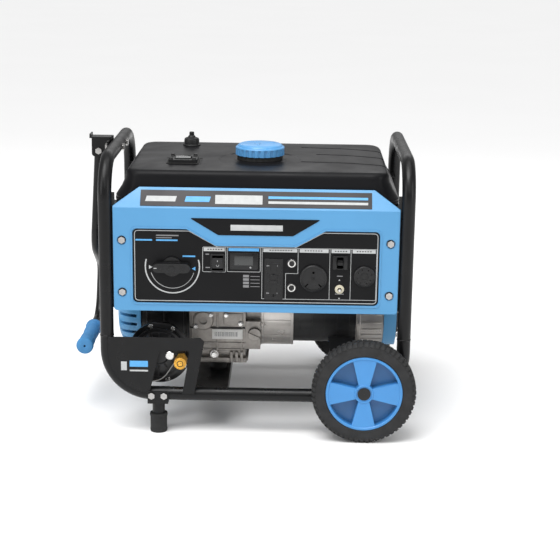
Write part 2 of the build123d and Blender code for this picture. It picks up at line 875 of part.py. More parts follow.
with BuildPart() as cylinder:
    with BuildSketch(cylinder_plane(cylinder_face)):
        Circle(barrel_d / 2)
    extrude(amount=bore_depth)
    for index in range(fin_count):
        with BuildSketch(cylinder_plane(cylinder_face + index * fin_pitch)):
            RectangleRounded(fin_size, fin_size, crankcase_corner_r)
        extrude(amount=fin_thick)
    with BuildSketch(cylinder_plane(cylinder_face)):
        Circle(cylinder_bore / 2)
    extrude(amount=bore_depth, mode=Mode.SUBTRACT)
    with BuildSketch(cylinder_plane(head_start)):
        RectangleRounded(fin_size, fin_size, crankcase_corner_r)
    extrude(amount=head_thick)
    with BuildSketch(cylinder_plane(head_cover_start)):
        RectangleRounded(
            fin_size - 2 * head_cover_inset,
            fin_size - 2 * head_cover_inset,
            crankcase_corner_r,
        )
    extrude(amount=head_cover_thick)
cylinder.part.label = "cylinder"
export_step(cylinder.part, "parts/cylinder.step")

port_distance = head_start + head_thick / 2
port_y = port_distance * cos(lean)
port_z = crank_z + port_distance * sin(lean)
head_left = engine_x - fin_size / 2
head_right = engine_x + fin_size / 2
carb_x = head_left - carb_length / 2

with BuildPart() as carburettor:
    with BuildSketch(Plane(origin=(head_left, port_y, port_z), x_dir=(0, 1, 0), z_dir=(-1, 0, 0))):
        Circle(carb_body_d / 2)
    extrude(amount=carb_length)
    with BuildSketch(Plane((carb_x, port_y, port_z))):
        Circle(carb_bowl_d / 2)
    extrude(amount=-carb_body_d / 2 - carb_bowl_depth)
    with BuildSketch(Plane((carb_x, port_y, port_z))):
        Circle(carb_horn_d / 2)
    extrude(amount=filter_z - port_z)
carburettor.part.label = "carburettor"
export_step(carburettor.part, "parts/carburettor.step")

filter_right = head_left
filter_centre = (filter_right - filter_length / 2, filter_rear - filter_depth / 2)

with BuildPart() as air_filter:
    with BuildSketch(Plane.XY.offset(filter_z)):
        with Locations(filter_centre):
            RectangleRounded(filter_length, filter_depth, filter_round)
    extrude(amount=filter_height)
    fillet(edges().group_by(Axis.Z)[-1], filter_round / 2)
air_filter.part.label = "air_filter"
export_step(air_filter.part, "parts/air_filter.step")

muffler_x = mid_x + muffler_x_offset
muffler_y = muffler_rear - muffler_depth / 2
exhaust_x = head_right + exhaust_out

with BuildPart() as muffler:
    with BuildSketch(across_plane(muffler_x)):
        with Locations((muffler_y, muffler_z + muffler_height / 2)):
            RectangleRounded(muffler_depth, muffler_height, muffler_round)
    extrude(amount=muffler_length / 2, both=True)
    fillet(faces().sort_by(Axis.X)[0].edges(), muffler_edge_r)
    fillet(faces().sort_by(Axis.X)[-1].edges(), muffler_edge_r)
    with BuildLine(front_plane(port_y)) as route:
        FilletPolyline(
            (head_right, port_z),
            (exhaust_x, port_z),
            (exhaust_x, muffler_z + exhaust_sink),
            radius=exhaust_bend_r,
        )
    with BuildSketch(Plane(origin=route.line @ 0, z_dir=route.line % 0)):
        Circle(exhaust_d / 2)
    sweep(path=route.line)
muffler.part.label = "muffler"
export_step(muffler.part, "parts/muffler.step")

with BuildPart() as blower_housing:
    with BuildSketch(crank_plane(blower_left)):
        Circle(blower_d / 2)
        Circle(blower_d / 2 - blower_wall, mode=Mode.SUBTRACT)
    extrude(amount=blower_length)
    with BuildSketch(crank_plane(case_left)):
        Circle(blower_d / 2)
        Circle(blower_hole_d / 2, mode=Mode.SUBTRACT)
    extrude(amount=-blower_wall)
blower_housing.part.label = "blower_housing"
export_step(blower_housing.part, "parts/blower_housing.step")

recoil_left = blower_left - recoil_depth
rope_x = recoil_left + recoil_depth / 2
rope_z = crank_z + recoil_rope_z

with BuildPart() as recoil_cover:
    with BuildSketch(crank_plane(blower_left)):
        Circle(recoil_d / 2)
    extrude(amount=-recoil_depth)
    fillet(edges().group_by(Axis.X)[0], recoil_round)
    with BuildSketch(Plane(origin=(rope_x, 0, rope_z), x_dir=(1, 0, 0), z_dir=(0, 1, 0))):
        Circle(rope_boss_d / 2)
    extrude(amount=recoil_rope_y)
    with BuildSketch(crank_plane(blower_left - recoil_wall)):
        Circle(recoil_d / 2 - recoil_wall)
    extrude(amount=-recoil_depth + recoil_round + recoil_wall, mode=Mode.SUBTRACT)
    with BuildSketch(crank_plane(blower_left)):
        Circle(blower_d / 2 - 2 * blower_wall)
    extrude(amount=-recoil_wall, mode=Mode.SUBTRACT)
    with BuildSketch(crank_plane(blower_left - recoil_depth + recoil_round)):
        Circle(recoil_d / 2 - recoil_round / 2)
    extrude(amount=-recoil_round + 2 * recoil_wall, taper=recoil_taper, mode=Mode.SUBTRACT)
    with BuildSketch(crank_plane(recoil_left)):
        with PolarLocations(recoil_slot_inner + recoil_slot_length / 2, recoil_slots):
            SlotOverall(recoil_slot_length, recoil_slot_width)
    extrude(amount=recoil_round, mode=Mode.SUBTRACT)
    with BuildSketch(Plane(origin=(rope_x, recoil_rope_y, rope_z), x_dir=(1, 0, 0), z_dir=(0, 1, 0))):
        Circle(rope_hole_d / 2)
    extrude(amount=-recoil_plug_length - control_gap, mode=Mode.SUBTRACT)
recoil_cover.part.label = "recoil_cover"
export_step(recoil_cover.part, "parts/recoil_cover.step")

with BuildPart() as recoil_grip:
    grip_face = Plane(
        origin=(rope_x, recoil_rope_y + control_gap, rope_z), x_dir=(1, 0, 0), z_dir=(0, 1, 0)
    )
    with BuildSketch(grip_face):
        SlotOverall(recoil_grip_length, recoil_grip_thick, rotation=90)
    extrude(amount=recoil_grip_depth)
    with BuildSketch(grip_face):
        Circle(recoil_plug_d / 2)
    extrude(amount=-recoil_plug_length)
recoil_grip.part.label = "recoil_grip"
export_step(recoil_grip.part, "parts/recoil_grip.step")

# ---------------------------------------------------------------- turning parts

flywheel_right = case_left - flywheel_gap
flywheel_left = flywheel_right - flywheel_width

with BuildPart() as flywheel:
    with BuildSketch(crank_plane(flywheel_left)):
        Circle(flywheel_d / 2)
        Circle(crank_nose_d / 2, mode=Mode.SUBTRACT)
    extrude(amount=flywheel_width)
    with BuildSketch(crank_plane(flywheel_left)):
        with PolarLocations(flywheel_d / 2 - flywheel_fin_length / 2, flywheel_fins):
            Rectangle(flywheel_fin_length - flywheel_fin_thick, flywheel_fin_thick)
    extrude(amount=-flywheel_fin_height)
flywheel.part.label = "flywheel"
export_step(flywheel.part, "parts/flywheel.step")

web_left = engine_x - crank_web_spacing / 2
web_right = engine_x + crank_web_spacing / 2

with BuildPart() as crankshaft:
    with BuildSketch(crank_plane(flywheel_left)):
        Circle(crank_nose_d / 2)
    extrude(amount=case_left - flywheel_left)
    with BuildSketch(crank_plane(case_left)):
        Circle(journal_d / 2)
    extrude(amount=web_left - case_left)
    for x in (web_left, web_right):
        with BuildSketch(crank_plane(x)):
            Circle(crank_web_d / 2)
        extrude(amount=crank_web_thick if x > engine_x else -crank_web_thick)
    with BuildSketch(crank_plane(web_left)):
        with Locations((0, -crank_throw)):
            Circle(crank_pin_d / 2)
    extrude(amount=web_right - web_left)
    with BuildSketch(crank_plane(web_right)):
        Circle(journal_d / 2)
    extrude(amount=cover_right - web_right)
    with BuildSketch(crank_plane(cover_right)):
        Circle(rotor_shaft_d / 2)
    extrude(amount=alternator_right - cover_right - alternator_cover_wall)
crankshaft.part.label = "crankshaft"
export_step(crankshaft.part, "parts/crankshaft.step")

rotor_left = bell_right + (stator_length - rotor_length) / 2

with BuildPart() as rotor:
    with BuildSketch(crank_plane(rotor_left)):
        Circle(rotor_d / 2)
        Circle(rotor_shaft_d / 2, mode=Mode.SUBTRACT)
        with PolarLocations(rotor_d / 2, 2, start_angle=90):
            Rectangle(2 * rotor_slot_depth, rotor_slot_width, mode=Mode.SUBTRACT)
    extrude(amount=rotor_length)
rotor.part.label = "rotor"
export_step(rotor.part, "parts/rotor.step")

# ---------------------------------------------------------------- alternator

with BuildPart() as alternator_bell:
    with BuildSketch(crank_plane(cover_right)):
        Circle(bell_d / 2)
        Circle(bell_d / 2 - bell_wall, mode=Mode.SUBTRACT)
    extrude(amount=bell_length)
alternator_bell.part.label = "alternator_bell"
export_step(alternator_bell.part, "parts/alternator_bell.step")

saddle_half_y = stator_d / 2 - saddle_inset
saddle_top_z = crank_z - stator_d / 2 + saddle_lap

with BuildPart() as stator:
    with BuildSketch(crank_plane(bell_right)):
        Circle(stator_d / 2)
    extrude(amount=stator_length)
    with BuildSketch(front_plane(0)):
        with BuildLine():
            Polyline(
                (alternator_foot_x - saddle_bottom / 2, engine_base_z),
                (alternator_foot_x + saddle_bottom / 2, engine_base_z),
                (alternator_foot_x + saddle_right, saddle_top_z),
                (alternator_foot_x - saddle_left, saddle_top_z),
                close=True,
            )
        make_face()
    extrude(amount=saddle_half_y, both=True)
    with BuildSketch(front_plane(0)):
        with Locations((alternator_foot_x, engine_base_z + saddle_plate + crank_height / 2)):
            Rectangle(4 * saddle_bottom, crank_height)
    extrude(amount=saddle_half_y - saddle_plate, both=True, mode=Mode.SUBTRACT)
    with BuildSketch(crank_plane(bell_right)):
        Circle(stator_d / 2)
    extrude(amount=stator_length)
    with BuildSketch(crank_plane(bell_right)):
        Circle(stator_bore / 2)
    extrude(amount=stator_length, mode=Mode.SUBTRACT)
stator.part.label = "stator"
export_step(stator.part, "parts/stator.step")

cover_plate_x = alternator_right - alternator_cover_wall

with BuildPart() as alternator_cover:
    with BuildSketch(crank_plane(stator_right)):
        Circle(alternator_cover_d / 2)
        Circle(alternator_cover_d / 2 - alternator_cover_wall, mode=Mode.SUBTRACT)
    extrude(amount=alternator_cover_length)
    with BuildSketch(crank_plane(cover_plate_x)):
        Circle(alternator_cover_d / 2)
    extrude(amount=alternator_cover_wall)
    with BuildSketch(crank_plane(cover_plate_x)):
        Circle(bearing_hub_d / 2)
        Circle(rotor_shaft_d / 2 + running_clearance, mode=Mode.SUBTRACT)
    extrude(amount=-bearing_hub_length)
alternator_cover.part.label = "alternator_cover"
export_step(alternator_cover.part, "parts/alternator_cover.step")

with BuildPart() as alternator_end_cap:
    with BuildSketch(crank_plane(alternator_right - end_cap_lap)):
        Circle(end_cap_d / 2)
        Circle(end_cap_d / 2 - end_cap_wall, mode=Mode.SUBTRACT)
    extrude(amount=end_cap_lap + end_cap_length)
    with BuildSketch(crank_plane(alternator_right + end_cap_length)):
        Circle(end_cap_d / 2)
        with PolarLocations(end_cap_slot_radius, end_cap_slots):
            SlotOverall(end_cap_slot_length, end_cap_slot_width, mode=Mode.SUBTRACT)
    extrude(amount=-end_cap_wall)
alternator_end_cap.part.label = "alternator_end_cap"
export_step(alternator_end_cap.part, "parts/alternator_end_cap.step")

# ---------------------------------------------------------------- fuel tank

tank_top_z = frame_height - tank_below_top
tank_bottom_z = tank_top_z - tank_height
skirt_x = post_spacing_x - tube_d - 2 * tank_side_gap
skirt_y = post_spacing_y - tube_d - 2 * tank_end_gap
crown_x = skirt_x - 2 * tank_flare_x
crown_y = skirt_y - 2 * tank_flare_y
cap_x = mid_x + cap_x_offset
flare_z = tank_bottom_z + tank_skirt_height
crown_z = tank_top_z - tank_crown_height


def tank_section(z, size_x, size_y, corner_r):
    """A rounded rectangle across the tank."""
    with BuildSketch(Plane((mid_x, 0, z))) as section:
        RectangleRounded(size_x, size_y, corner_r)
    return section.sketch


with BuildPart() as fuel_tank:
    add(tank_section(tank_bottom_z, skirt_x, skirt_y, tank_corner_r))
    extrude(amount=tank_skirt_height)
    loft(
        [
            tank_section(flare_z, skirt_x, skirt_y, tank_corner_r),
            tank_section(crown_z, crown_x, crown_y, tank_corner_r),
        ]
    )
    add(tank_section(crown_z, crown_x, crown_y, tank_corner_r))
    extrude(amount=tank_crown_height)
    fillet(edges().group_by(Axis.Z)[-1], tank_edge_r)
    inner = 2 * tank_wall
    inner_r = tank_corner_r - tank_wall
    add(tank_section(tank_bottom_z + tank_wall, skirt_x - inner, skirt_y - inner, inner_r))
    extrude(amount=tank_skirt_height - tank_wall, mode=Mode.SUBTRACT)
    loft(
        [
            tank_section(flare_z, skirt_x - inner, skirt_y - inner, inner_r),
            tank_section(crown_z, crown_x - inner, crown_y - inner, inner_r),
        ],
        mode=Mode.SUBTRACT,
    )
    add(tank_section(crown_z, crown_x - 2 * inner, crown_y - 2 * inner, inner_r))
    extrude(amount=tank_crown_height - tank_wall, mode=Mode.SUBTRACT)
    with BuildSketch(Plane((cap_x, cap_y, tank_top_z))):
        Circle(neck_d / 2)
    extrude(amount=-tank_crown_height, mode=Mode.SUBTRACT)
    with BuildSketch(Plane((mid_x + gauge_x_offset, gauge_y, tank_top_z))):
        Circle(gauge_float_d / 2 + tank_wall)
    extrude(amount=-tank_crown_height, mode=Mode.SUBTRACT)
fuel_tank.part.label = "fuel_tank"
export_step(fuel_tank.part, "parts/fuel_tank.step")

with BuildPart() as tank_brackets:
    for x, inward_x in ((left_x, 1), (right_x, -1)):
        for y, inward_y in ((front_y, 1), (rear_y, -1)):
            pad_x = x + inward_x * tank_bracket_x / 2
            pad_y = y + inward_y * (tank_bracket_start + tank_bracket_y / 2)
            with BuildSketch(Plane((0, 0, tank_bottom_z))):
                with Locations((pad_x, pad_y)):
                    Rectangle(tank_bracket_x, tank_bracket_y)
                with Locations((x + inward_x * tube_r / 2, y + inward_y * tank_bracket_start / 2)):
                    Rectangle(tube_r, tank_bracket_start)
            extrude(amount=-tank_bracket_thick)
            with BuildSketch(Plane((x, y, tank_bottom_z))):
                Circle(tube_r)
            extrude(amount=-tank_bracket_thick, mode=Mode.SUBTRACT)
tank_brackets.part.label = "tank_brackets"
export_step(tank_brackets.part, "parts/tank_brackets.step")

seal_z = tank_top_z + cap_gap
cap_z = seal_z + seal_height + cap_gap

with BuildPart() as cap_seal:
    with BuildSketch(Plane((cap_x, cap_y, seal_z))):
        Circle(seal_d / 2)
    extrude(amount=seal_height)
    with BuildSketch(Plane((cap_x, cap_y, seal_z))):
        Circle(neck_d / 2 - seal_plug_clearance)
    extrude(amount=-seal_plug_depth)
cap_seal.part.label = "cap_seal"
export_step(cap_seal.part, "parts/cap_seal.step")

with BuildPart() as fuel_cap:
    with BuildSketch(Plane((cap_x, cap_y, cap_z))):
        Circle(cap_d / 2)
    extrude(amount=cap_height)
    fillet(edges().group_by(Axis.Z)[-1], cap_edge_r)
    with BuildSketch(Plane((cap_x, cap_y, cap_z))):
        with PolarLocations(cap_d / 2 + cap_flute_r - cap_flute_depth, cap_flutes):
            Circle(cap_flute_r)
    extrude(amount=cap_height - cap_edge_r, mode=Mode.SUBTRACT)
fuel_cap.part.label = "fuel_cap"
export_step(fuel_cap.part, "parts/fuel_cap.step")

with BuildPart() as fuel_gauge:
    gauge_plane = Plane((mid_x + gauge_x_offset, gauge_y, tank_top_z))
    with BuildSketch(gauge_plane):
        RectangleRounded(gauge_size, gauge_size, gauge_corner_r)
    extrude(amount=gauge_height)
    with BuildSketch(gauge_plane.offset(gauge_height)):
        RectangleRounded(gauge_window, gauge_window, gauge_corner_r / 2)
    extrude(amount=-gauge_window_depth, mode=Mode.SUBTRACT)
    with BuildSketch(gauge_plane):
        Circle(gauge_float_d / 2)
    extrude(amount=-gauge_float_length)
fuel_gauge.part.label = "fuel_gauge"
export_step(fuel_gauge.part, "parts/fuel_gauge.step")

with BuildPart() as vent_valve:
    vent_plane = Plane((mid_x + vent_x_offset, vent_y, tank_top_z))
    with BuildSketch(vent_plane):
        Circle(vent_d / 2)
    extrude(amount=vent_height)
    with BuildSketch(vent_plane.offset(vent_height)):
        Circle(vent_nozzle_d / 2)
    extrude(amount=vent_nozzle_height)
vent_valve.part.label = "vent_valve"
export_step(vent_valve.part, "parts/vent_valve.step")

# ---------------------------------------------------------------- control panel

plate_low_z = bezel_low_z + faceplate_bottom
plate_high_z = plate_low_z + faceplate_height


def faceplate_outline(grow):
    """The control plate's outline in X and Z, grown outwards."""
    high = plate_high_z + grow
    notch = plate_high_z - faceplate_notch_depth + grow
    with BuildSketch() as outline:
        with BuildLine():
            Polyline(
                (mid_x - faceplate_side - grow, plate_low_z - grow),
                (mid_x + faceplate_side + grow, plate_low_z - grow),
                (mid_x + faceplate_side + grow, high),
                (mid_x + faceplate_notch_top, high),
                (mid_x + faceplate_notch_bottom, notch),
                (mid_x - faceplate_notch_bottom, notch),
                (mid_x - faceplate_notch_top, high),
                (mid_x - faceplate_side - grow, high),
                close=True,
            )
        make_face()
        corners = vertices().sort_by(Axis.X)
        fillet(corners[0:2] + corners[-2:], faceplate_corner_r)
    return outline.sketch


with BuildPart() as panel_bezel:
    fold_back_z = bezel_fold_z - bezel_wall / 2
    with BuildSketch(across_plane(mid_x)):
        with BuildLine():
            Polyline(
                (face_y, bezel_low_z),
                (face_y, bezel_fold_z),
                (face_y + facet_back, bezel_fold_z + facet_rise),
                (face_y + facet_back + bezel_wall, bezel_fold_z + facet_rise - bezel_wall / 2),
                (face_y + bezel_wall, fold_back_z),
                (face_y + bezel_wall, bezel_low_z + bezel_wall),
                (face_y + bezel_rim, bezel_low_z + bezel_wall),
                (face_y + bezel_rim, bezel_low_z),
                close=True,
            )
        make_face()
    extrude(amount=bezel_half, both=True)
    for sign in (-1, 1):
        edge_x = mid_x + sign * (bezel_half - bezel_wall / 2)
        with BuildSketch(Plane((edge_x, face_y + bezel_rim / 2, bezel_low_z))):
            Rectangle(bezel_wall, bezel_rim)
        extrude(amount=bezel_height)
        outer_x = mid_x + sign * bezel_half
        with BuildSketch(front_plane(face_y)):
            with BuildLine():
                Polyline(
                    (outer_x, bezel_fold_z + facet_rise - facet_corner_z),
                    (outer_x, bezel_fold_z + 2 * facet_rise),
                    (outer_x - sign * facet_corner_x, bezel_fold_z + 2 * facet_rise),
                    (outer_x - sign * facet_corner_x, bezel_fold_z + facet_rise),
                    close=True,
                )
            make_face()
        extrude(amount=-bezel_rim - facet_back, mode=Mode.SUBTRACT)
    with BuildSketch(front_plane(face_y + bezel_rim / 2)):
        add(faceplate_outline(0))
    extrude(amount=bezel_rim, mode=Mode.SUBTRACT)
    bolt_places = []
    for x in (-bezel_bolt_x, bezel_bolt_x):
        bolt_places.append(panel_at((x, bezel_bolt_low)))
        bolt_places.append(panel_at((x, bezel_bolt_high)))
    with BuildSketch(front_plane(face_y)):
        with Locations(*bolt_places):
            Circle(bezel_bolt_recess_d / 2)
    extrude(amount=-bezel_wall, mode=Mode.SUBTRACT)
    with BuildSketch(front_plane(plate_back_y)):
        with Locations(*bolt_places):
            Circle(bezel_bolt_recess_d / 2 + faceplate_thick)
            Circle(bolt_d / 2, mode=Mode.SUBTRACT)
    extrude(amount=faceplate_thick)
    low_corners = edges().filter_by(Axis.Y).group_by(Axis.Z)[0].sort_by(Axis.X)
    fillet([low_corners[0], low_corners[-1]], bezel_corner_r)
panel_bezel.part.label = "panel_bezel"
export_step(panel_bezel.part, "parts/panel_bezel.step")

with BuildPart() as faceplate:
    with BuildSketch(front_plane(plate_back_y)):
        add(faceplate_outline(faceplate_lap))
    extrude(amount=faceplate_thick)
    with BuildSketch(front_plane(plate_back_y)):
        with Locations(panel_at(selector_at)):
            Circle(selector_shaft_d / 2 + running_clearance)
        with Locations(panel_at(switch_at)):
            Rectangle(switch_width + 2 * control_gap, switch_height + 2 * control_gap)
        with Locations(panel_at(gfci_at)):
            Rectangle(gfci_width, gfci_height)
        with Locations(panel_at((breaker_x, breaker_low)), panel_at((breaker_x, breaker_high))):
            Circle(breaker_button_d / 2 + control_gap)
        with Locations(panel_at(round_socket_at)):
            Circle(round_socket_d / 2)
        with Locations(panel_at(lever_at)):
            Rectangle(lever_width + 2 * control_gap, lever_slot_height)
        with Locations(panel_at(toggle_at)):
            Circle(toggle_hole_d / 2)
        with Locations(panel_at(twist_socket_at)):
            Circle(twist_socket_d / 2)
    extrude(amount=faceplate_thick, mode=Mode.SUBTRACT)
    with BuildSketch(front_plane(plate_front_y)):
        with Locations(panel_at((breaker_x, breaker_low)), panel_at((breaker_x, breaker_high))):
            Circle(breaker_collar_d / 2)
            Circle(breaker_button_d / 2 + control_gap, mode=Mode.SUBTRACT)
    extrude(amount=breaker_collar_proud)
faceplate.part.label = "faceplate"
export_step(faceplate.part, "parts/faceplate.step")

box_half = bezel_half - box_inset
box_low_z = bezel_low_z + box_inset
box_high_z = bezel_fold_z - box_inset

with BuildPart() as control_box:
    box_centre = (mid_x, (box_low_z + box_high_z) / 2)
    box_size = (2 * box_half, box_high_z - box_low_z)
    with BuildSketch(front_plane(box_back_y)):
        with Locations(box_centre):
            Rectangle(*box_size)
    extrude(amount=box_depth)
    with BuildSketch(front_plane(box_back_y - box_wall)):
        with Locations(box_centre):
            Rectangle(box_size[0] - 2 * box_wall, box_size[1] - 2 * box_wall)
    extrude(amount=box_depth, mode=Mode.SUBTRACT)
    for sign in (-1, 1):
        with BuildSketch(front_plane(plate_back_y + box_wall)):
            for rise in (bezel_bolt_low, bezel_bolt_high):
                with Locations(panel_at((sign * bezel_bolt_x, rise))):
                    Rectangle(2 * (box_half - bezel_bolt_x), bezel_bolt_recess_d)
        extrude(amount=box_wall)
    with BuildSketch(front_plane(plate_back_y)):
        with Locations(*bolt_places):
            Circle(bolt_d / 2)
    extrude(amount=-bezel_bolt_length, mode=Mode.SUBTRACT)
control_box.part.label = "control_box"
export_step(control_box.part, "parts/control_box.step")

# ---------------------------------------------------------------- things on the control panel

with BuildPart() as selector_knob:
    knob_plane = front_plane(plate_front_y - control_gap)
    with BuildSketch(knob_plane):
        with Locations(panel_at(selector_at)):
            Circle(selector_disc_d / 2)
    extrude(amount=selector_disc_height)
    with BuildSketch(knob_plane):
        with Locations(panel_at(selector_at)):
            SlotOverall(selector_bar_length, selector_bar_width)
    extrude(amount=selector_bar_height)
    with BuildSketch(knob_plane):
        with Locations(panel_at(selector_at)):
            Circle(selector_shaft_d / 2)
    extrude(amount=-selector_shaft_length)
selector_knob.part.label = "selector_knob"
export_step(selector_knob.part, "parts/selector_knob.step")

switch_pivot_y = plate_back_y

with BuildPart() as engine_switch:
    switch_x, switch_z = panel_at(switch_at)
    switch_front = plate_front_y - switch_proud
    switch_back = switch_front + switch_depth
    with BuildSketch(across_plane(switch_x)):
        with BuildLine():
            Polyline(
                (switch_pivot_y - switch_proud, switch_z - switch_height / 2 + switch_proud),
                (switch_front - switch_proud / 2, switch_z + switch_height / 2 - switch_proud),
                (switch_back, switch_z + switch_height / 4),
                (switch_back, switch_z - switch_height / 4),
                close=True,
            )
        make_face()
    extrude(amount=switch_width / 2, both=True)
engine_switch.part.label = "engine_switch"
export_step(engine_switch.part, "parts/engine_switch.step")

gfci_face_y = plate_front_y - gfci_proud
gfci_x, gfci_z = panel_at(gfci_at)

with BuildPart() as gfci_receptacle:
    with BuildSketch(front_plane(plate_back_y + socket_depth)):
        with Locations((gfci_x, gfci_z)):
            Rectangle(gfci_width, gfci_height)
    extrude(amount=plate_back_y + socket_depth - gfci_face_y)
    with BuildSketch(front_plane(gfci_face_y)):
        for rise in (outlet_spacing / 2, -outlet_spacing / 2):
            with Locations((gfci_x, gfci_z + rise)):
                with GridLocations(blade_spacing, 0, 2, 1):
                    Rectangle(blade_width, blade_height)
            with Locations((gfci_x, gfci_z + rise - ground_drop)):
                Circle(ground_pin_d / 2)
    extrude(amount=-blade_depth, mode=Mode.SUBTRACT)
    with BuildSketch(front_plane(gfci_face_y)):
        with Locations((gfci_x, gfci_z + button_pitch / 2), (gfci_x, gfci_z - button_pitch / 2)):
            Rectangle(button_width + 2 * control_gap, button_height + 2 * control_gap)
    extrude(amount=-button_depth - button_proud, mode=Mode.SUBTRACT)
gfci_receptacle.part.label = "gfci_receptacle"
export_step(gfci_receptacle.part, "parts/gfci_receptacle.step")

for name, rise in (("test_button", button_pitch / 2), ("reset_button", -button_pitch / 2)):
    with BuildPart() as button:
        with BuildSketch(front_plane(gfci_face_y - button_proud)):
            with Locations((gfci_x, gfci_z + rise)):
                Rectangle(button_width, button_height)
        extrude(amount=-button_depth)
        fillet(faces().sort_by(Axis.Y)[0].edges(), control_gap)
    button.part.label = name
    export_step(button.part, f"parts/{name}.step")

for name, rise in (("upper_breaker", breaker_high), ("lower_breaker", breaker_low)):
    with BuildPart() as push_button:
        button_face = plate_front_y - breaker_button_proud - breaker_collar_proud
        with BuildSketch(front_plane(button_face)):
            with Locations(panel_at((breaker_x, rise))):
                Circle(breaker_button_d / 2)
        extrude(amount=-breaker_button_depth - breaker_collar_proud)
        fillet(faces().sort_by(Axis.Y)[0].edges(), 2 * control_gap)
    push_button.part.label = name
    export_step(push_button.part, f"parts/{name}.step")

with BuildPart() as round_receptacle:
    round_x, round_z = panel_at(round_socket_at)
    round_face_y = plate_front_y - round_socket_proud
    with BuildSketch(front_plane(plate_back_y + socket_depth)):
        with Locations((round_x, round_z)):
            Circle(round_socket_d / 2)
    extrude(amount=plate_back_y + socket_depth - round_face_y)
    with BuildSketch(front_plane(round_face_y)):
        with Locations((round_x, round_z + ground_drop)):
            Circle(ground_pin_d / 2)
        for sign in (-1, 1):
            blade_place = (round_x + sign * key_blade_side, round_z - key_blade_drop, 0)
            with Locations(Location(blade_place, (0, 0, sign * key_blade_tilt))):
                Rectangle(blade_width, blade_height)
    extrude(amount=-blade_depth, mode=Mode.SUBTRACT)
round_receptacle.part.label = "round_receptacle"
export_step(round_receptacle.part, "parts/round_receptacle.step")

with BuildLine() as twist_slot_line:
    CenterArc((0, 0), twist_slot_radius, -twist_slot_sweep / 2, twist_slot_sweep)
twist_slot_arc = twist_slot_line.edges()[0]

with BuildPart() as twist_receptacle:
    twist_x, twist_z = panel_at(twist_socket_at)
    twist_face_y = plate_front_y - twist_socket_proud
    with BuildSketch(front_plane(plate_back_y + socket_depth)):
        with Locations((twist_x, twist_z)):
            Circle(twist_socket_d / 2)
    extrude(amount=plate_back_y + socket_depth - twist_face_y)
    with BuildSketch(front_plane(twist_face_y)):
        with Locations((twist_x, twist_z)):
            with PolarLocations(0, twist_slot_count, start_angle=twist_slot_sweep):
                SlotArc(twist_slot_arc, twist_slot_width)
    extrude(amount=-blade_depth, mode=Mode.SUBTRACT)
twist_receptacle.part.label = "twist_receptacle"
export_step(twist_receptacle.part, "parts/twist_receptacle.step")

lever_x, lever_z = panel_at(lever_at)

with BuildPart() as main_breaker_lever:
    with BuildSketch(across_plane(lever_x)):
        with Locations((plate_back_y, lever_z)):
            Circle(lever_barrel_d / 2)
        with Locations((plate_back_y - lever_length / 2, lever_z)):
            Rectangle(lever_length, lever_thick)
    extrude(amount=lever_width / 2, both=True)
main_breaker_lever.part.label = "main_breaker_lever"
export_step(main_breaker_lever.part, "parts/main_breaker_lever.step")

toggle_x, toggle_z = panel_at(toggle_at)

with BuildPart() as voltage_toggle:
    with BuildSketch(across_plane(toggle_x)):
        with Locations((plate_front_y, toggle_z)):
            Circle(toggle_ball_d / 2)
        split_half = toggle_ball_d
        with Locations((plate_front_y, toggle_z - split_half / 2)):
            Rectangle(2 * toggle_ball_d, split_half, mode=Mode.SUBTRACT)
    revolve(axis=Axis((toggle_x, plate_front_y, toggle_z), (0, 1, 0)))
    with BuildSketch(front_plane(plate_front_y)):
        with Locations((toggle_x, toggle_z)):
            Circle(toggle_stem_d / 2)
    extrude(amount=toggle_stem)
voltage_toggle.part.label = "voltage_toggle"
export_step(voltage_toggle.part, "parts/voltage_toggle.step")

# ---------------------------------------------------------------- gas connection

gas_front_y = front_y - gas_plate_proud
gas_back_y = gas_front_y + gas_plate_thick
edge_offset = sqrt(tube_r**2 - (gas_plate_proud - gas_plate_thick) ** 2)
gas_left = left_x + edge_offset
gas_bottom = rail_z + edge_offset
gas_arc_r = rail_bend_r - edge_offset

with BuildPart() as gas_panel:
    with BuildSketch(front_plane(gas_back_y)):
        with BuildLine():
            top_left = (gas_left, gas_plate_top)
            arc_start = (gas_left, rail_z + rail_bend_r)
            arc_end = (left_x + rail_bend_r, gas_bottom)
            Line(top_left, arc_start)
            RadiusArc(arc_start, arc_end, -gas_arc_r)
            Polyline(
                arc_end,
                (left_x + gas_plate_right - gas_plate_slant, gas_bottom),
                (left_x + gas_plate_right, gas_plate_top - gas_plate_chamfer),
                (left_x + gas_plate_right - gas_plate_chamfer, gas_plate_top),
                top_left,
            )
        make_face()
        with BuildLine(mode=Mode.PRIVATE) as window:
            FilletPolyline(
                (left_x + window_left_top, window_top),
                (left_x + window_right_top, window_top),
                (left_x + window_right_bottom, gas_bottom - window_overrun),
                (left_x + window_left_bottom, gas_bottom - window_overrun),
                radius=window_corner_r,
                close=True,
            )
        make_face(window.line.edges(), mode=Mode.SUBTRACT)
        with Locations((foot_x, saddle_bottom_z + foot_bracket_rise / 2)):
            Rectangle(
                foot_bracket_width + 2 * control_gap,
                foot_bracket_rise + 2 * control_gap,
                mode=Mode.SUBTRACT,
            )
    extrude(amount=gas_plate_thick)
gas_panel.part.label = "gas_panel"
export_step(gas_panel.part, "parts/gas_panel.step")

regulator_x = left_x + regulator_inset

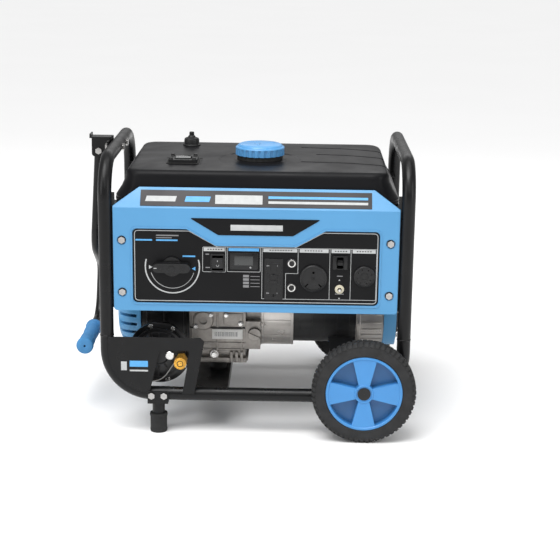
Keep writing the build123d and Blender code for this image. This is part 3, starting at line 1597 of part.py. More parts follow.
with BuildPart() as regulator:
    with BuildSketch(front_plane(-regulator_front + regulator_depth)):
        with Locations((regulator_x, regulator_z)):
            Circle(regulator_body_d / 2)
    extrude(amount=regulator_depth)
    flange_mid_y = -regulator_front + regulator_depth / 3
    with BuildSketch(front_plane(flange_mid_y)):
        with Locations((regulator_x, regulator_z)):
            Circle(regulator_d / 2)
    extrude(amount=regulator_flange)
    with BuildSketch(front_plane(flange_mid_y)):
        for angle in regulator_leg_angles:
            leg_x = regulator_x + regulator_body_d / 2 * cos(radians(angle))
            leg_z = regulator_z + regulator_body_d / 2 * sin(radians(angle))
            with Locations((leg_x, leg_z - regulator_leg_d)):
                Circle(regulator_leg_d / 2)
    extrude(amount=flange_mid_y - gas_back_y)
regulator.part.label = "regulator"
export_step(regulator.part, "parts/regulator.step")

inlet_x = left_x + inlet_inset
hex_front_y = -regulator_front - inlet_hex_length

with BuildPart() as gas_inlet:
    with BuildSketch(front_plane(-regulator_front)):
        with Locations((inlet_x, inlet_z)):
            RegularPolygon(inlet_hex_af / 2, 6, major_radius=False)
    extrude(amount=inlet_hex_length)
    with BuildSketch(front_plane(hex_front_y)):
        with Locations((inlet_x, inlet_z)):
            Circle(inlet_nose_d / 2)
    extrude(amount=inlet_nose_length)
gas_inlet.part.label = "gas_inlet"
export_step(gas_inlet.part, "parts/gas_inlet.step")

ring_front_y = hex_front_y - leash_ring_thick

with BuildPart() as gas_cap:
    with BuildSketch(front_plane(ring_front_y - control_gap)):
        with Locations((inlet_x, inlet_z)):
            Circle(gas_cap_d / 2)
    extrude(amount=inlet_nose_length + control_gap)
    with BuildSketch(front_plane(ring_front_y - control_gap)):
        with Locations((inlet_x, inlet_z)):
            Circle(inlet_nose_d / 2 + gas_cap_wall_clearance)
    extrude(amount=inlet_nose_length - leash_ring_thick + control_gap, mode=Mode.SUBTRACT)
gas_cap.part.label = "gas_cap"
export_step(gas_cap.part, "parts/gas_cap.step")

with BuildPart() as cap_leash:
    with BuildSketch(front_plane(hex_front_y)):
        with Locations((inlet_x, inlet_z)):
            Circle(leash_ring_d / 2)
            Circle(inlet_nose_d / 2, mode=Mode.SUBTRACT)
    extrude(amount=leash_ring_thick)
    leash_y = hex_front_y - leash_ring_thick / 2
    leash_start = (inlet_x - leash_ring_d / 2 + leash_d / 2, leash_y, inlet_z)
    leash_end = (
        left_x + window_left_bottom - leash_button_d / 2,
        gas_back_y + leash_ring_thick / 2,
        gas_bottom + leash_button_rise,
    )
    leash_mid = (
        (leash_start[0] + leash_end[0]) / 2 + leash_d,
        leash_y - leash_d,
        leash_end[2] - leash_d,
    )
    with BuildLine() as route:
        FilletPolyline(leash_start, leash_mid, leash_end, radius=leash_bend_r)
    with BuildSketch(Plane(origin=route.line @ 0, z_dir=route.line % 0)):
        Circle(leash_d / 2)
    sweep(path=route.line)
    with BuildSketch(front_plane(gas_back_y + leash_ring_thick)):
        with Locations((leash_end[0], leash_end[2])):
            Circle(leash_button_d / 2)
    extrude(amount=leash_ring_thick)
cap_leash.part.label = "cap_leash"
export_step(cap_leash.part, "parts/cap_leash.step")
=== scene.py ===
import math
import bmesh
import bpy
from mathutils import Matrix, Vector


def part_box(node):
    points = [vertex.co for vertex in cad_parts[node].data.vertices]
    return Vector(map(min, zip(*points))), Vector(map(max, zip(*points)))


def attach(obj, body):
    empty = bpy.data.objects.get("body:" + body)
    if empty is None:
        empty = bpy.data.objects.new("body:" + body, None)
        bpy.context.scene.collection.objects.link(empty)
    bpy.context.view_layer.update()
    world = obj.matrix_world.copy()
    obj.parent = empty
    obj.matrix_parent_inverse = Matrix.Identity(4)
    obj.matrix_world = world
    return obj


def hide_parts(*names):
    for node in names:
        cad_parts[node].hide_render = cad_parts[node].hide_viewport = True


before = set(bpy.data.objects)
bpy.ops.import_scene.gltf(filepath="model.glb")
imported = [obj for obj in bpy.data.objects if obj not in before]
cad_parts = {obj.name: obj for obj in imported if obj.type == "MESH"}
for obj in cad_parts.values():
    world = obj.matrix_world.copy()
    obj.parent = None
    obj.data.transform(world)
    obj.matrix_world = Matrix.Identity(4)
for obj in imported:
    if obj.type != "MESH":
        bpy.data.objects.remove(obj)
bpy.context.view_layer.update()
MM = 0.001


def box(node):
    """A node's lowest and highest corners, in millimetres."""
    return [[c / MM for c in corner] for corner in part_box(node)]


def centre(node):
    """The middle of a node's box."""
    return [(a + b) / 2 for a, b in zip(*box(node))]


def lowest(node):
    return box(node)[0]


def highest(node):
    return box(node)[1]


def show(thing):
    """Puts an object in the scene."""
    bpy.context.scene.collection.objects.link(thing)


MID = (centre("left_hoop")[0] + centre("right_hoop")[0]) / 2
BEZEL_LOW = lowest("panel_bezel")
BEZEL_HIGH = highest("panel_bezel")
FACE_Y = BEZEL_LOW[1]
PLATE_Y = FACE_Y + 3
DRAWN_BEZEL_LOW = 260  # the bezel's height when the panel's places below were measured
LIFT = BEZEL_LOW[2] - DRAWN_BEZEL_LOW
PRINT_Y = PLATE_Y - 0.05
TANK_TOP = highest("fuel_tank")[2]

# ------------------------------------------------------------------ camera, light, floor

yaw, pitch, roll = math.radians(-0.52), math.radians(-14.69), math.radians(0.79)
ahead = Vector((math.sin(yaw) * math.cos(pitch), math.cos(yaw) * math.cos(pitch), math.sin(pitch)))
side = Vector((math.cos(yaw), -math.sin(yaw), 0))
above = side.cross(ahead)
right = side * math.cos(roll) + above * math.sin(roll)
up = above * math.cos(roll) - side * math.sin(roll)
camera_data = bpy.data.cameras.new("camera")
camera_data.lens = 89.27
camera_data.sensor_width = 36.0
camera_data.clip_end = 200.0
camera = bpy.data.objects.new("camera", camera_data)
turn = Matrix((right, up, -ahead)).transposed()
camera.matrix_world = Matrix.Translation(Vector((MID + 74.7, -2979.2, 1051 + LIFT)) * MM) @ turn.to_4x4()
show(camera)
bpy.context.scene.camera = camera
bpy.context.scene.view_settings.view_transform = "Standard"

world = bpy.data.worlds.new("studio")
world.use_nodes = True
world.node_tree.nodes["Background"].inputs[0].default_value = (1.0, 1.0, 1.0, 1)
world.node_tree.nodes["Background"].inputs[1].default_value = 0.34
bpy.context.scene.world = world


def area_light(name, place, target, size, power):
    """A soft box that faces a point."""
    data = bpy.data.lights.new(name, "AREA")
    data.shape = "RECTANGLE"
    data.size = size[0]
    data.size_y = size[1]
    data.energy = power
    light = bpy.data.objects.new(name, data)
    aim = Vector(target) - Vector(place)
    light.rotation_euler = aim.to_track_quat("-Z", "Y").to_euler()
    light.location = place
    show(light)


sun_data = bpy.data.lights.new("soft_sun", "SUN")
sun_data.energy = 2.3
sun_data.angle = math.radians(40)
sun = bpy.data.objects.new("soft_sun", sun_data)
sun.rotation_euler = Vector((0.22, 0.36, -0.90)).to_track_quat("-Z", "Y").to_euler()
show(sun)

area_light("top_box", (0.1, -0.3, 2.6), (0, 0, 0.3), (2.6, 2.0), 26)
area_light("left_box", (-2.4, -1.7, 1.5), (0, 0, 0.3), (1.0, 1.9), 22)
area_light("right_box", (2.5, -1.5, 1.3), (0, 0, 0.3), (0.9, 1.8), 18)
area_light("front_box", (0.4, -3.0, 2.2), (0, 0, 0.3), (1.6, 0.9), 9)
area_light("rear_box", (0.2, 2.6, 1.9), (0, 0, 0.4), (2.2, 1.2), 8)

# ------------------------------------------------------------------ materials


class Nodes:
    """A short way to build one material's node tree."""

    def __init__(self, name):
        self.material = bpy.data.materials.new(name)
        self.material.use_nodes = True
        self.tree = self.material.node_tree
        self.shader = self.tree.nodes["Principled BSDF"]
        coords = self.tree.nodes.new("ShaderNodeTexCoord")
        self.coords = coords.outputs["Object"]

    def link(self, source, target):
        self.tree.links.new(source, target)

    def noise(self, scale, detail=3.0, rough=0.5, stretch=None):
        node = self.tree.nodes.new("ShaderNodeTexNoise")
        for socket, value in (("Scale", scale), ("Detail", detail), ("Roughness", rough)):
            node.inputs[socket].default_value = value
        source = self.coords
        if stretch:
            mapping = self.tree.nodes.new("ShaderNodeMapping")
            mapping.inputs["Scale"].default_value = stretch
            self.link(self.coords, mapping.inputs["Vector"])
            source = mapping.outputs[0]
        self.link(source, node.inputs["Vector"])
        return node.outputs["Fac"]

    def ramp(self, source, low, high, dark, light):
        node = self.tree.nodes.new("ShaderNodeMapRange")
        for socket, value in (("From Min", low), ("From Max", high), ("To Min", dark), ("To Max", light)):
            node.inputs[socket].default_value = value
        self.link(source, node.inputs["Value"])
        return node.outputs[0]

    def mix(self, factor, first, second):
        node = self.tree.nodes.new("ShaderNodeMix")
        node.data_type = "RGBA"
        self.link(factor, node.inputs[0])
        for socket, value in ((node.inputs[6], first), (node.inputs[7], second)):
            if isinstance(value, tuple):
                socket.default_value = value if len(value) == 4 else value + (1,)
            else:
                self.link(value, socket)
        return node.outputs[2]


def finish_material(name, base, rough, metal=0.0, shade=0.12, patch=14.0, grain=900.0, bump=0.08,
        bump_depth=0.0002, edge=0.8, wear=0.0, wear_colour=(0.4, 0.4, 0.4), coat=0.0, grime=0.0,
        rough_spread=0.08, stretch=None, specular=0.5):
    """A coated, moulded or cast surface: patchy colour and gloss, fine grain, softened and worn edges."""
    n = Nodes(name)
    dark = tuple(c * (1 - shade) for c in base)
    light = tuple(min(1.0, c * (1 + shade)) for c in base)
    patches = n.ramp(n.noise(patch, 5.0, 0.55), 0.3, 0.7, 0, 1)
    colour = n.mix(patches, dark, light)
    bevel = n.tree.nodes.new("ShaderNodeBevel")
    bevel.samples = 4
    bevel.inputs["Radius"].default_value = edge * MM
    geometry = n.tree.nodes.new("ShaderNodeNewGeometry")
    dot = n.tree.nodes.new("ShaderNodeVectorMath")
    dot.operation = "DOT_PRODUCT"
    n.link(bevel.outputs[0], dot.inputs[0])
    n.link(geometry.outputs["Normal"], dot.inputs[1])
    if wear:
        rim = n.ramp(dot.outputs["Value"], 0.97, 0.86, 0, 1)
        broken = n.ramp(n.noise(160.0, 6.0, 0.65), 0.48, 0.62, 0, wear)
        both = n.tree.nodes.new("ShaderNodeMath")
        both.operation = "MULTIPLY"
        n.link(rim, both.inputs[0])
        n.link(broken, both.inputs[1])
        colour = n.mix(both.outputs[0], colour, wear_colour)
    if grime:
        dirt = n.ramp(n.noise(46.0, 7.0, 0.7), 0.42, 0.72, 0, grime)
        colour = n.mix(dirt, colour, tuple(c * 0.35 for c in base))
    n.link(colour, n.shader.inputs["Base Color"])
    gloss = n.ramp(n.noise(patch * 2.3, 4.0), 0.3, 0.7, rough - rough_spread, rough + rough_spread)
    n.link(gloss, n.shader.inputs["Roughness"])
    n.shader.inputs["Metallic"].default_value = metal
    n.shader.inputs["Specular IOR Level"].default_value = specular
    n.shader.inputs["Coat Weight"].default_value = coat
    n.shader.inputs["Coat Roughness"].default_value = 0.12
    relief = n.tree.nodes.new("ShaderNodeBump")
    relief.inputs["Strength"].default_value = bump
    relief.inputs["Distance"].default_value = bump_depth
    n.link(n.noise(grain, 3.0, 0.6, stretch), relief.inputs["Height"])
    n.link(bevel.outputs[0], relief.inputs["Normal"])
    n.link(relief.outputs[0], n.shader.inputs["Normal"])
    return n.material


BLACK_POWDER = finish_material("black_powder_coat", (0.0042, 0.0042, 0.0046), 0.33, grain=1500, bump=0.22,
    edge=0.7, wear=0.3, wear_colour=(0.05, 0.05, 0.05), specular=0.27)
TANK_PAINT = finish_material("tank_enamel", (0.0085, 0.0085, 0.0095), 0.36, grain=1100, bump=0.10, edge=0.3,
    patch=6, specular=0.10)
BLUE_PAINT = finish_material("blue_enamel", (0.082, 0.288, 0.535), 0.40, shade=0.04, patch=5, grain=1300,
    bump=0.12, edge=1.6, wear=0.30, wear_colour=(0.20, 0.40, 0.62))
BLUE_PLASTIC = finish_material("blue_moulding", (0.052, 0.245, 0.565), 0.36, shade=0.05, patch=9, grain=1500,
    bump=0.15, edge=1.1)
CAP_BLUE = finish_material("blue_cap_moulding", (0.085, 0.30, 0.60), 0.34, shade=0.06, patch=20, grain=1600,
    bump=0.15, edge=0.9, coat=0.1)
GRIP_BLUE = finish_material("blue_grip_rubber", (0.048, 0.21, 0.44), 0.62, shade=0.10, patch=30, grain=700,
    bump=0.35, edge=0.6)
PLATE_BLACK = finish_material("panel_film", (0.0062, 0.0062, 0.0068), 0.42, shade=0.10, patch=8, grain=1800,
    bump=0.10, edge=0.3, specular=0.15)
BLACK_PLASTIC = finish_material("black_moulding", (0.009, 0.009, 0.0095), 0.45, shade=0.15, patch=25,
    grain=1100, bump=0.30, edge=0.6, specular=0.35)
SOCKET_PLASTIC = finish_material("socket_moulding", (0.006, 0.006, 0.0065), 0.34, shade=0.15, patch=30,
    grain=1400, bump=0.2, edge=0.5, specular=0.4)
TYRE = finish_material("tyre_rubber", (0.021, 0.021, 0.0215), 0.78, shade=0.25, patch=35, grain=600, bump=0.5,
    bump_depth=0.0004, edge=0.8, specular=0.35)
RUBBER = finish_material("black_rubber", (0.016, 0.016, 0.016), 0.70, shade=0.2, patch=40, grain=700,
    bump=0.4, edge=0.8, specular=0.35)
CAST = finish_material("cast_aluminium", (0.37, 0.345, 0.32), 0.46, metal=0.75, shade=0.13, patch=30,
    grain=520, bump=0.55, bump_depth=0.0005, edge=1.4, wear=0.6, wear_colour=(0.72, 0.70, 0.67), grime=0.45)
TURNED = finish_material("machined_aluminium", (0.56, 0.53, 0.50), 0.33, metal=0.85, shade=0.08, patch=16,
    grain=420, bump=0.22, edge=0.9, wear=0.4, wear_colour=(0.8, 0.8, 0.78), grime=0.15,
    stretch=(6.0, 0.7, 0.7))
ZINC = finish_material("zinc_plate", (0.72, 0.71, 0.69), 0.24, metal=1.0, shade=0.12, patch=120, grain=900,
    bump=0.2, edge=0.7, grime=0.12)
BRASS = finish_material("brass", (0.80, 0.43, 0.065), 0.30, metal=0.55, shade=0.10, patch=120, grain=900,
    bump=0.2, edge=0.5, grime=0.15)
BLACK_ENAMEL = finish_material("black_enamel", (0.006, 0.006, 0.0065), 0.36, shade=0.2, patch=15, grain=800,
    bump=0.3, edge=1.0, wear=0.3, wear_colour=(0.06, 0.06, 0.06))
STEEL = finish_material("heat_tinted_steel", (0.40, 0.37, 0.33), 0.44, metal=0.9, shade=0.2, patch=10,
    grain=500, bump=0.3, edge=1.5, grime=0.35, wear=0.3, wear_colour=(0.62, 0.55, 0.45))
PRINT_PALE, PRINT_GREY, PRINT_BLUE = [
    finish_material(name, base, 0.5, shade=shade, patch=90, grain=1500, bump=0.05, edge=0.1)
    for name, base, shade in (("pale_print", (0.46, 0.47, 0.47), 0.06),
                              ("grey_print", (0.20, 0.20, 0.205), 0.08),
                              ("blue_print", (0.09, 0.36, 0.70), 0.06))]
LABEL = finish_material("paper_label", (0.72, 0.71, 0.68), 0.55, shade=0.05, patch=70, grain=1200, bump=0.1,
    edge=0.2)
# dark film for the title strip, also used as painted shade in the twist-lock slots
TITLE_FILM_AND_SLOT_SHADE = finish_material("title_strip_film_and_slot_shade", (0.030, 0.027, 0.029), 0.42, shade=0.35, patch=5, grain=1800,
    bump=0.08, edge=0.4, specular=0.3)
LCD = finish_material("display_window", (0.018, 0.020, 0.020), 0.12, shade=0.2, patch=30, grain=400,
    bump=0.02, edge=0.3, coat=0.6)
DARK_CHROME = finish_material("dark_chrome", (0.44, 0.43, 0.42), 0.2, metal=1.0, shade=0.15, patch=120,
    grain=900, bump=0.2, edge=0.7, grime=0.2)
CREAM = finish_material("cream_moulding", (0.57, 0.53, 0.41), 0.45, shade=0.06, patch=60, grain=1200,
    bump=0.15, edge=0.4)
CORD_PALE = finish_material("pale_leash_rubber", (0.30, 0.30, 0.29), 0.6, shade=0.1, patch=60, grain=900,
    bump=0.3, edge=0.4)
# near-black for the printed header dashes, and painted shade in the socket slots and the gas cap's recess
DARK_PRINT_AND_RECESS_SHADE = finish_material("dark_print_and_painted_recess_shade", (0.003, 0.003, 0.003), 0.7, shade=0.3, patch=40, grain=500,
    bump=0.1, edge=0.2)


def paint_pocket_shade(material, inner_y, outer_y, least):
    """Paints shade into a rim's colour, darker towards the wheel's middle plane, where the pockets lie in
    shadow.
    """
    tree = material.node_tree
    colour = tree.nodes["Principled BSDF"].inputs["Base Color"]
    coords = tree.nodes.new("ShaderNodeTexCoord")
    split = tree.nodes.new("ShaderNodeSeparateXYZ")
    size = tree.nodes.new("ShaderNodeMath")
    size.operation = "ABSOLUTE"
    fade = tree.nodes.new("ShaderNodeMapRange")
    for name, value in (("From Min", inner_y), ("From Max", outer_y), ("To Min", least), ("To Max", 1.0)):
        fade.inputs[name].default_value = value
    scale = tree.nodes.new("ShaderNodeVectorMath")
    scale.operation = "SCALE"
    tree.links.new(coords.outputs["Object"], split.inputs[0])
    tree.links.new(split.outputs["Y"], size.inputs[0])
    tree.links.new(size.outputs[0], fade.inputs["Value"])
    tree.links.new(colour.links[0].from_socket, scale.inputs[0])
    tree.links.new(fade.outputs[0], scale.inputs["Scale"])
    tree.links.new(scale.outputs[0], colour)


rim_outer = highest("rear_rim")[1]
# painted shade deepening the blue rims' pockets
paint_pocket_shade(BLUE_PLASTIC, (rim_outer - 17) * MM, (rim_outer - 6) * MM, 0.55)

FLOOR = Nodes("floor_paint")
FLOOR.link(FLOOR.mix(FLOOR.ramp(FLOOR.noise(1.2, 3.0), 0.3, 0.7, 0, 1), (0.915, 0.915, 0.915),
    (0.925, 0.925, 0.925)), FLOOR.shader.inputs["Base Color"])
FLOOR.shader.inputs["Roughness"].default_value = 0.85
FLOOR.shader.inputs["Specular IOR Level"].default_value = 0.15

FINISH = {
    BLACK_POWDER: ["left_hoop", "right_hoop", "front_rail", "rear_rail", "cross_members", "axle_brackets",
                   "foot_brackets", "handle_tube", "handle_bracket", "tank_brackets", "gas_panel"],
    BLUE_PAINT: ["panel_bezel", "alternator_end_cap"],
    BLUE_PLASTIC: ["front_rim", "rear_rim"],
    CAP_BLUE: ["fuel_cap"],
    PLATE_BLACK: ["faceplate"],
    BLACK_PLASTIC: ["control_box", "air_filter", "fuel_gauge", "vent_valve", "recoil_grip",
                    "main_breaker_lever"],
    SOCKET_PLASTIC: ["selector_knob", "gfci_receptacle", "test_button", "reset_button", "round_receptacle",
                     "twist_receptacle", "upper_breaker", "lower_breaker", "engine_switch"],
    RUBBER: ["rubber_feet", "vibration_mounts", "cap_seal"],
    CORD_PALE: ["cap_leash"],
    CAST: ["crankcase", "cylinder", "carburettor", "crankcase_cover", "oil_plug"],
    TURNED: ["alternator_bell", "alternator_cover"],
    DARK_CHROME: ["frame_bolts"],
    ZINC: ["axle", "voltage_toggle"],
    BRASS: ["gas_inlet", "gas_cap"],
    BLACK_ENAMEL: ["stator", "blower_housing", "regulator"],
    STEEL: ["muffler", "crankshaft", "flywheel", "rotor"],
}
for material, names in FINISH.items():
    for name in names:
        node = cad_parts[name]
        node.data.materials.clear()
        node.data.materials.append(material)


def shade_by_angle(mesh, degrees=32.0):
    """Smooth shading, broken where two faces meet at more than an angle."""
    limit = math.radians(degrees)
    build = bmesh.new()
    build.from_mesh(mesh)
    for face in build.faces:
        face.smooth = True
    for line in build.edges:
        line.smooth = len(line.link_faces) == 2 and line.calc_face_angle(0) < limit
    build.to_mesh(mesh)
    build.free()


# ------------------------------------------------------------------ making pieces


build = bmesh.new()  # the shape being made, in millimetres


def take_mesh(name):
    """The shape made so far as a mesh in metres; the next shape starts empty."""
    bmesh.ops.recalc_face_normals(build, faces=build.faces)
    bmesh.ops.scale(build, vec=(MM, MM, MM), verts=build.verts)
    mesh = bpy.data.meshes.new(name)
    build.to_mesh(mesh)
    build.clear()
    return mesh


def piece(name, material, body="frame", smooth=32.0):
    """A named object from the shape made so far, riding on a body."""
    mesh = take_mesh(name)
    mesh.materials.append(material)
    shade_by_angle(mesh, smooth)
    made = bpy.data.objects.new(name, mesh)
    show(made)
    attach(made, body)
    return made


def turned(place, angle, axis):
    """A turn about an axis through a place."""
    return Matrix.Translation(Vector(place)) @ Matrix.Rotation(angle, 4, axis)


def skin(rings, closed=False):
    """Faces from each ring of points to the next. Closed joins the last to the first, open caps both ends."""
    for a, b in zip(rings, rings[1:] + rings[:1] if closed else rings[1:]):
        for k in range(len(a)):
            j = (k + 1) % len(a)
            build.faces.new((a[k], a[j], b[j], b[k]))
    if closed:
        return []
    return [build.faces.new(list(reversed(rings[0]))), build.faces.new(rings[-1])]


def add_block(lo, hi, round_by=0.0, matrix=None):
    """A block with rounded edges."""
    new = bmesh.ops.create_cube(build, size=1.0)["verts"]
    for v in new:
        v.co = Vector([(a + b) / 2 + c * (b - a) for a, b, c in zip(lo, hi, v.co)])
    if round_by:
        lines = list({e for v in new for e in v.link_edges})
        made = bmesh.ops.bevel(build, geom=lines, offset=round_by, segments=2, profile=0.6, affect="EDGES")
        new = list({v for f in made["faces"] for v in f.verts} | {v for v in new if v.is_valid})
    if matrix:
        for v in new:
            v.co = matrix @ v.co


def add_prism(outline, axis, start, end, round_by=0.0):
    """A flat outline pushed along an axis. The outline is in the two other axes, in X, Y, Z order."""
    def place(a, b, depth):
        if axis == 0:
            return Vector((depth, a, b))
        if axis == 1:
            return Vector((a, depth, b))
        return Vector((a, b, depth))
    first = [build.verts.new(place(a, b, start)) for a, b in outline]
    last = [build.verts.new(place(a, b, end)) for a, b in outline]
    caps = skin([last, first])
    if round_by:
        rim = [e for cap in caps for e in cap.edges]
        bmesh.ops.bevel(build, geom=rim, offset=round_by, segments=2, profile=0.6, affect="EDGES")


def add_lathe(profile, origin, axis, segments=48, start=0.0, sweep=2 * math.pi):
    """A closed (distance along, radius) profile turned about an axis through a point."""
    rings = []
    whole = abs(sweep - 2 * math.pi) < 1e-6
    ring_count = segments if whole else segments + 1
    for i in range(ring_count):
        angle = start + sweep * i / segments
        c, s = math.cos(angle), math.sin(angle)
        ring = []
        for along, radius in profile:
            if axis == 0:
                spot = (along, radius * c, radius * s)
            elif axis == 1:
                spot = (radius * c, along, radius * s)
            else:
                spot = (radius * c, radius * s, along)
            ring.append(build.verts.new(Vector(origin) + Vector(spot)))
        rings.append(ring)
    skin(rings, whole)


def add_hex(place, axis, sign, flats, height, washer=0.0):
    """A hexagon head with a chamfered crown, on an optional washer, standing on a place."""
    radius = flats / math.sqrt(3)
    base = list(place)
    if washer:
        profile = [(0, flats * 0.2), (0, washer), (sign * 1.2, washer - 0.4), (sign * 1.4, flats * 0.2)]
        add_lathe(profile, base, axis, 28)
        base[axis] += sign * 1.2
    levels = [(0, radius), (height * 0.8, radius), (height, radius * 0.86)]
    rings = []
    for along, r in levels:
        ring = []
        for i in range(6):
            angle = math.pi / 3 * i + 0.3
            c, s = r * math.cos(angle), r * math.sin(angle)
            spot = [(along * sign, c, s), (c, along * sign, s), (c, s, along * sign)][axis]
            ring.append(build.verts.new(Vector(base) + Vector(spot)))
        rings.append(ring)
    skin(rings)


def add_stroke(points, width, y, thick=0.12, closed=False):
    """A printed line of even width along points in X and Z."""
    count = len(points)
    sides = []
    for i in range(count):
        before = points[(i - 1) % count] if closed or i > 0 else None
        after = points[(i + 1) % count] if closed or i < count - 1 else None
        here = Vector(points[i])
        dirs = []
        if before is not None:
            dirs.append((here - Vector(before)).normalized())
        if after is not None:
            dirs.append((Vector(after) - here).normalized())
        along = sum(dirs, Vector((0, 0))).normalized()
        across = Vector((-along.y, along.x))
        square = Vector((-dirs[0].y, dirs[0].x))
        reach = width / 2 / max(0.4, across.dot(square))
        sides.append((here + across * reach, here - across * reach))
    rows = []
    for a, b in sides:
        square_cut = ((a, y), (b, y), (b, y - thick), (a, y - thick))
        rows.append([build.verts.new((p.x, depth, p.y)) for p, depth in square_cut])
    skin(rows, closed)


def carve(name, node, material, body="frame"):
    """A copy of a CAD node's mesh with the shape made so far cut from it, standing in for the node."""
    made = bpy.data.objects.new(name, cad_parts[node].data.copy())
    show(made)
    made.data.materials.clear()
    made.data.materials.append(material)
    weld = bmesh.new()
    weld.from_mesh(made.data)
    bmesh.ops.remove_doubles(weld, verts=weld.verts, dist=2e-6)
    bmesh.ops.dissolve_limit(weld, angle_limit=math.radians(0.5), verts=weld.verts, edges=weld.edges)
    weld.to_mesh(made.data)
    weld.free()
    cutter = bpy.data.objects.new("cutter", take_mesh("cutter"))
    show(cutter)
    change = made.modifiers.new("cut", "BOOLEAN")
    change.object = cutter
    change.operation = "DIFFERENCE"
    change.solver = "EXACT"
    bpy.context.view_layer.update()
    settled = bpy.data.meshes.new_from_object(made.evaluated_get(bpy.context.evaluated_depsgraph_get()))
    made.modifiers.clear()
    made.data = settled
    bpy.data.objects.remove(cutter)
    shade_by_angle(made.data, 30.0)
    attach(made, body)
    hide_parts(node)
    return made


def arc_points(cx, cz, radius, start, stop, steps=28):
    """Points along an arc, in degrees from +X."""
    spots = []
    for i in range(steps + 1):
        angle = math.radians(start + (stop - start) * i / steps)
        spots.append((cx + radius * math.cos(angle), cz + radius * math.sin(angle)))
    return spots


def rounded(points, radius, steps=5):
    """A closed outline with its corners rounded."""
    out = []
    count = len(points)
    for i in range(count):
        here = Vector(points[i])
        a = (Vector(points[i - 1]) - here).normalized()
        b = (Vector(points[(i + 1) % count]) - here).normalized()
        half = math.acos(max(-1, min(1, a.dot(b)))) / 2
        back = radius / math.tan(half)
        start, stop = here + a * back, here + b * back
        for k in range(steps + 1):
            t = k / steps
            spot = start * (1 - t) ** 2 + here * 2 * t * (1 - t) + stop * t ** 2
            out.append((spot.x, spot.y))
    return out


def rectangle(x0, z0, x1, z1):
    """The corners of an upright rectangle."""
    return [(x0, z0), (x1, z0), (x1, z1), (x0, z1)]


def panel_rectangle(x0, z0, x1, z1):
    """A rectangle in the panel's millimetres."""
    return [on_panel(x, z) for x, z in rectangle(x0, z0, x1, z1)]


def front_of(node):
    """X of a node's middle, Y of its front and Z of its middle."""
    return centre(node)[0], lowest(node)[1], centre(node)[2]


def on_panel(x, z):
    """A place in the panel's millimetres, X from the frame's middle, as scene X and Z."""
    return MID + x, z + LIFT


def bar(x0, x1, z0, z1, lift=0.12, back=0.0):
    """A thin printed bar on the panel, in the panel's millimetres."""
    add_block((MID + x0, PRINT_Y - lift, z0 + LIFT), (MID + x1, PRINT_Y - back, z1 + LIFT))


# ------------------------------------------------------------------ printed control panel

outline = [(-252, 277), (252, 277), (252, 433), (139, 433), (80, 399), (-80, 399), (-139, 433), (-252, 433)]
border = rounded([on_panel(x * 0.984, 355 + (z - 355) * 0.945) for x, z in outline], 8)
add_stroke(border, 1.5, PRINT_Y, closed=True)
boxes = [rounded(panel_rectangle(-109, 344, -62, 396), 2.5),
         rounded(panel_rectangle(-58.8, 345, 9, 396), 2.5),
         [on_panel(12.5, 288.5), on_panel(61, 288.5), on_panel(61, 343), on_panel(86, 343), on_panel(86, 396),
          on_panel(12.5, 396)]]
for box_points in boxes:
    add_stroke(box_points, 0.9, PRINT_Y, closed=True)
add_stroke([on_panel(86, 396), on_panel(247, 396)], 0.9, PRINT_Y)
add_stroke([on_panel(61, 288.5), on_panel(247, 288.5)], 0.9, PRINT_Y)
for x in (151, 194, 246.5):
    add_stroke([on_panel(x, 288.5), on_panel(x, 396)], 0.9, PRINT_Y)
piece("panel_lines", PRINT_PALE)

for x0, x1 in ((-107, -64), (15, 84), (89, 148), (154, 192), (197, 244)):
    bar(x0, x1, 387.5, 395)
piece("panel_header_bars", PRINT_PALE)
for x0, x1 in ((-107, -64), (15, 84), (89, 148), (154, 192), (197, 244)):
    middle = (x0 + x1) / 2
    reach = (x1 - x0) * 0.32
    dash = middle - reach
    while dash < middle + reach:
        bar(dash, dash + 3.2, 390.4, 392.4, 0.2, 0.1)
        dash += 5.4
piece("panel_header_dashes", DARK_PRINT_AND_RECESS_SHADE)
bar(-56, 6, 388.5, 395)
for x0, x1, z in ((-246, -212, 409), (-204, -160, 409), (-150, -124, 376)):
    bar(x0, x1, z - 1.6, z + 1.6)
piece("panel_accent_bars", PRINT_BLUE)

for i in range(4):
    z = 336 - i * 7.2
    bar(-26, -14, z - 2.6, z + 2.6)
    bar(-11, 8, z - 1.0, z + 0.2)
for x0, x1, z, half in ((-103, -96, 381, 1.1), (-103, -94, 353, 1.1), (20, 26, 372, 1.2), (20, 26, 318, 1.2),
        (-204, -158, 419, 1.3), (-204, -172, 414, 0.9), (163, 181, 301, 0.9), (166, 178, 339, 0.9)):
    bar(x0, x1, z - half, z + half)
piece("panel_legend", PRINT_GREY)

dial_x, dial_z = on_panel(-171, 353.5)
add_stroke(arc_points(dial_x, dial_z, 55.5, 164, 376), 2.6, PRINT_Y)
add_stroke(arc_points(dial_x, dial_z, 45.5, 196, 344), 1.0, PRINT_Y)
cx, cz = on_panel(-216, 352)
add_prism([(cx - 3, cz - 4), (cx + 4, cz), (cx - 3, cz + 4)], 1, PRINT_Y - 0.12, PRINT_Y)
for z, flip in ((329.4, 1), (292.9, -1)):
    cx, cz = on_panel(171.5, z)
    add_prism([(cx - 2, cz), (cx + 2, cz), (cx, cz + flip * 3.2)], 1, PRINT_Y - 0.12, PRINT_Y)
piece("selector_dial_print", PRINT_PALE)
cx, cz = on_panel(-127, 350)
add_prism([(cx + 3, cz - 4), (cx - 4, cz), (cx + 3, cz + 4)], 1, PRINT_Y - 0.12, PRINT_Y)
piece("selector_dial_blue_mark", PRINT_BLUE)

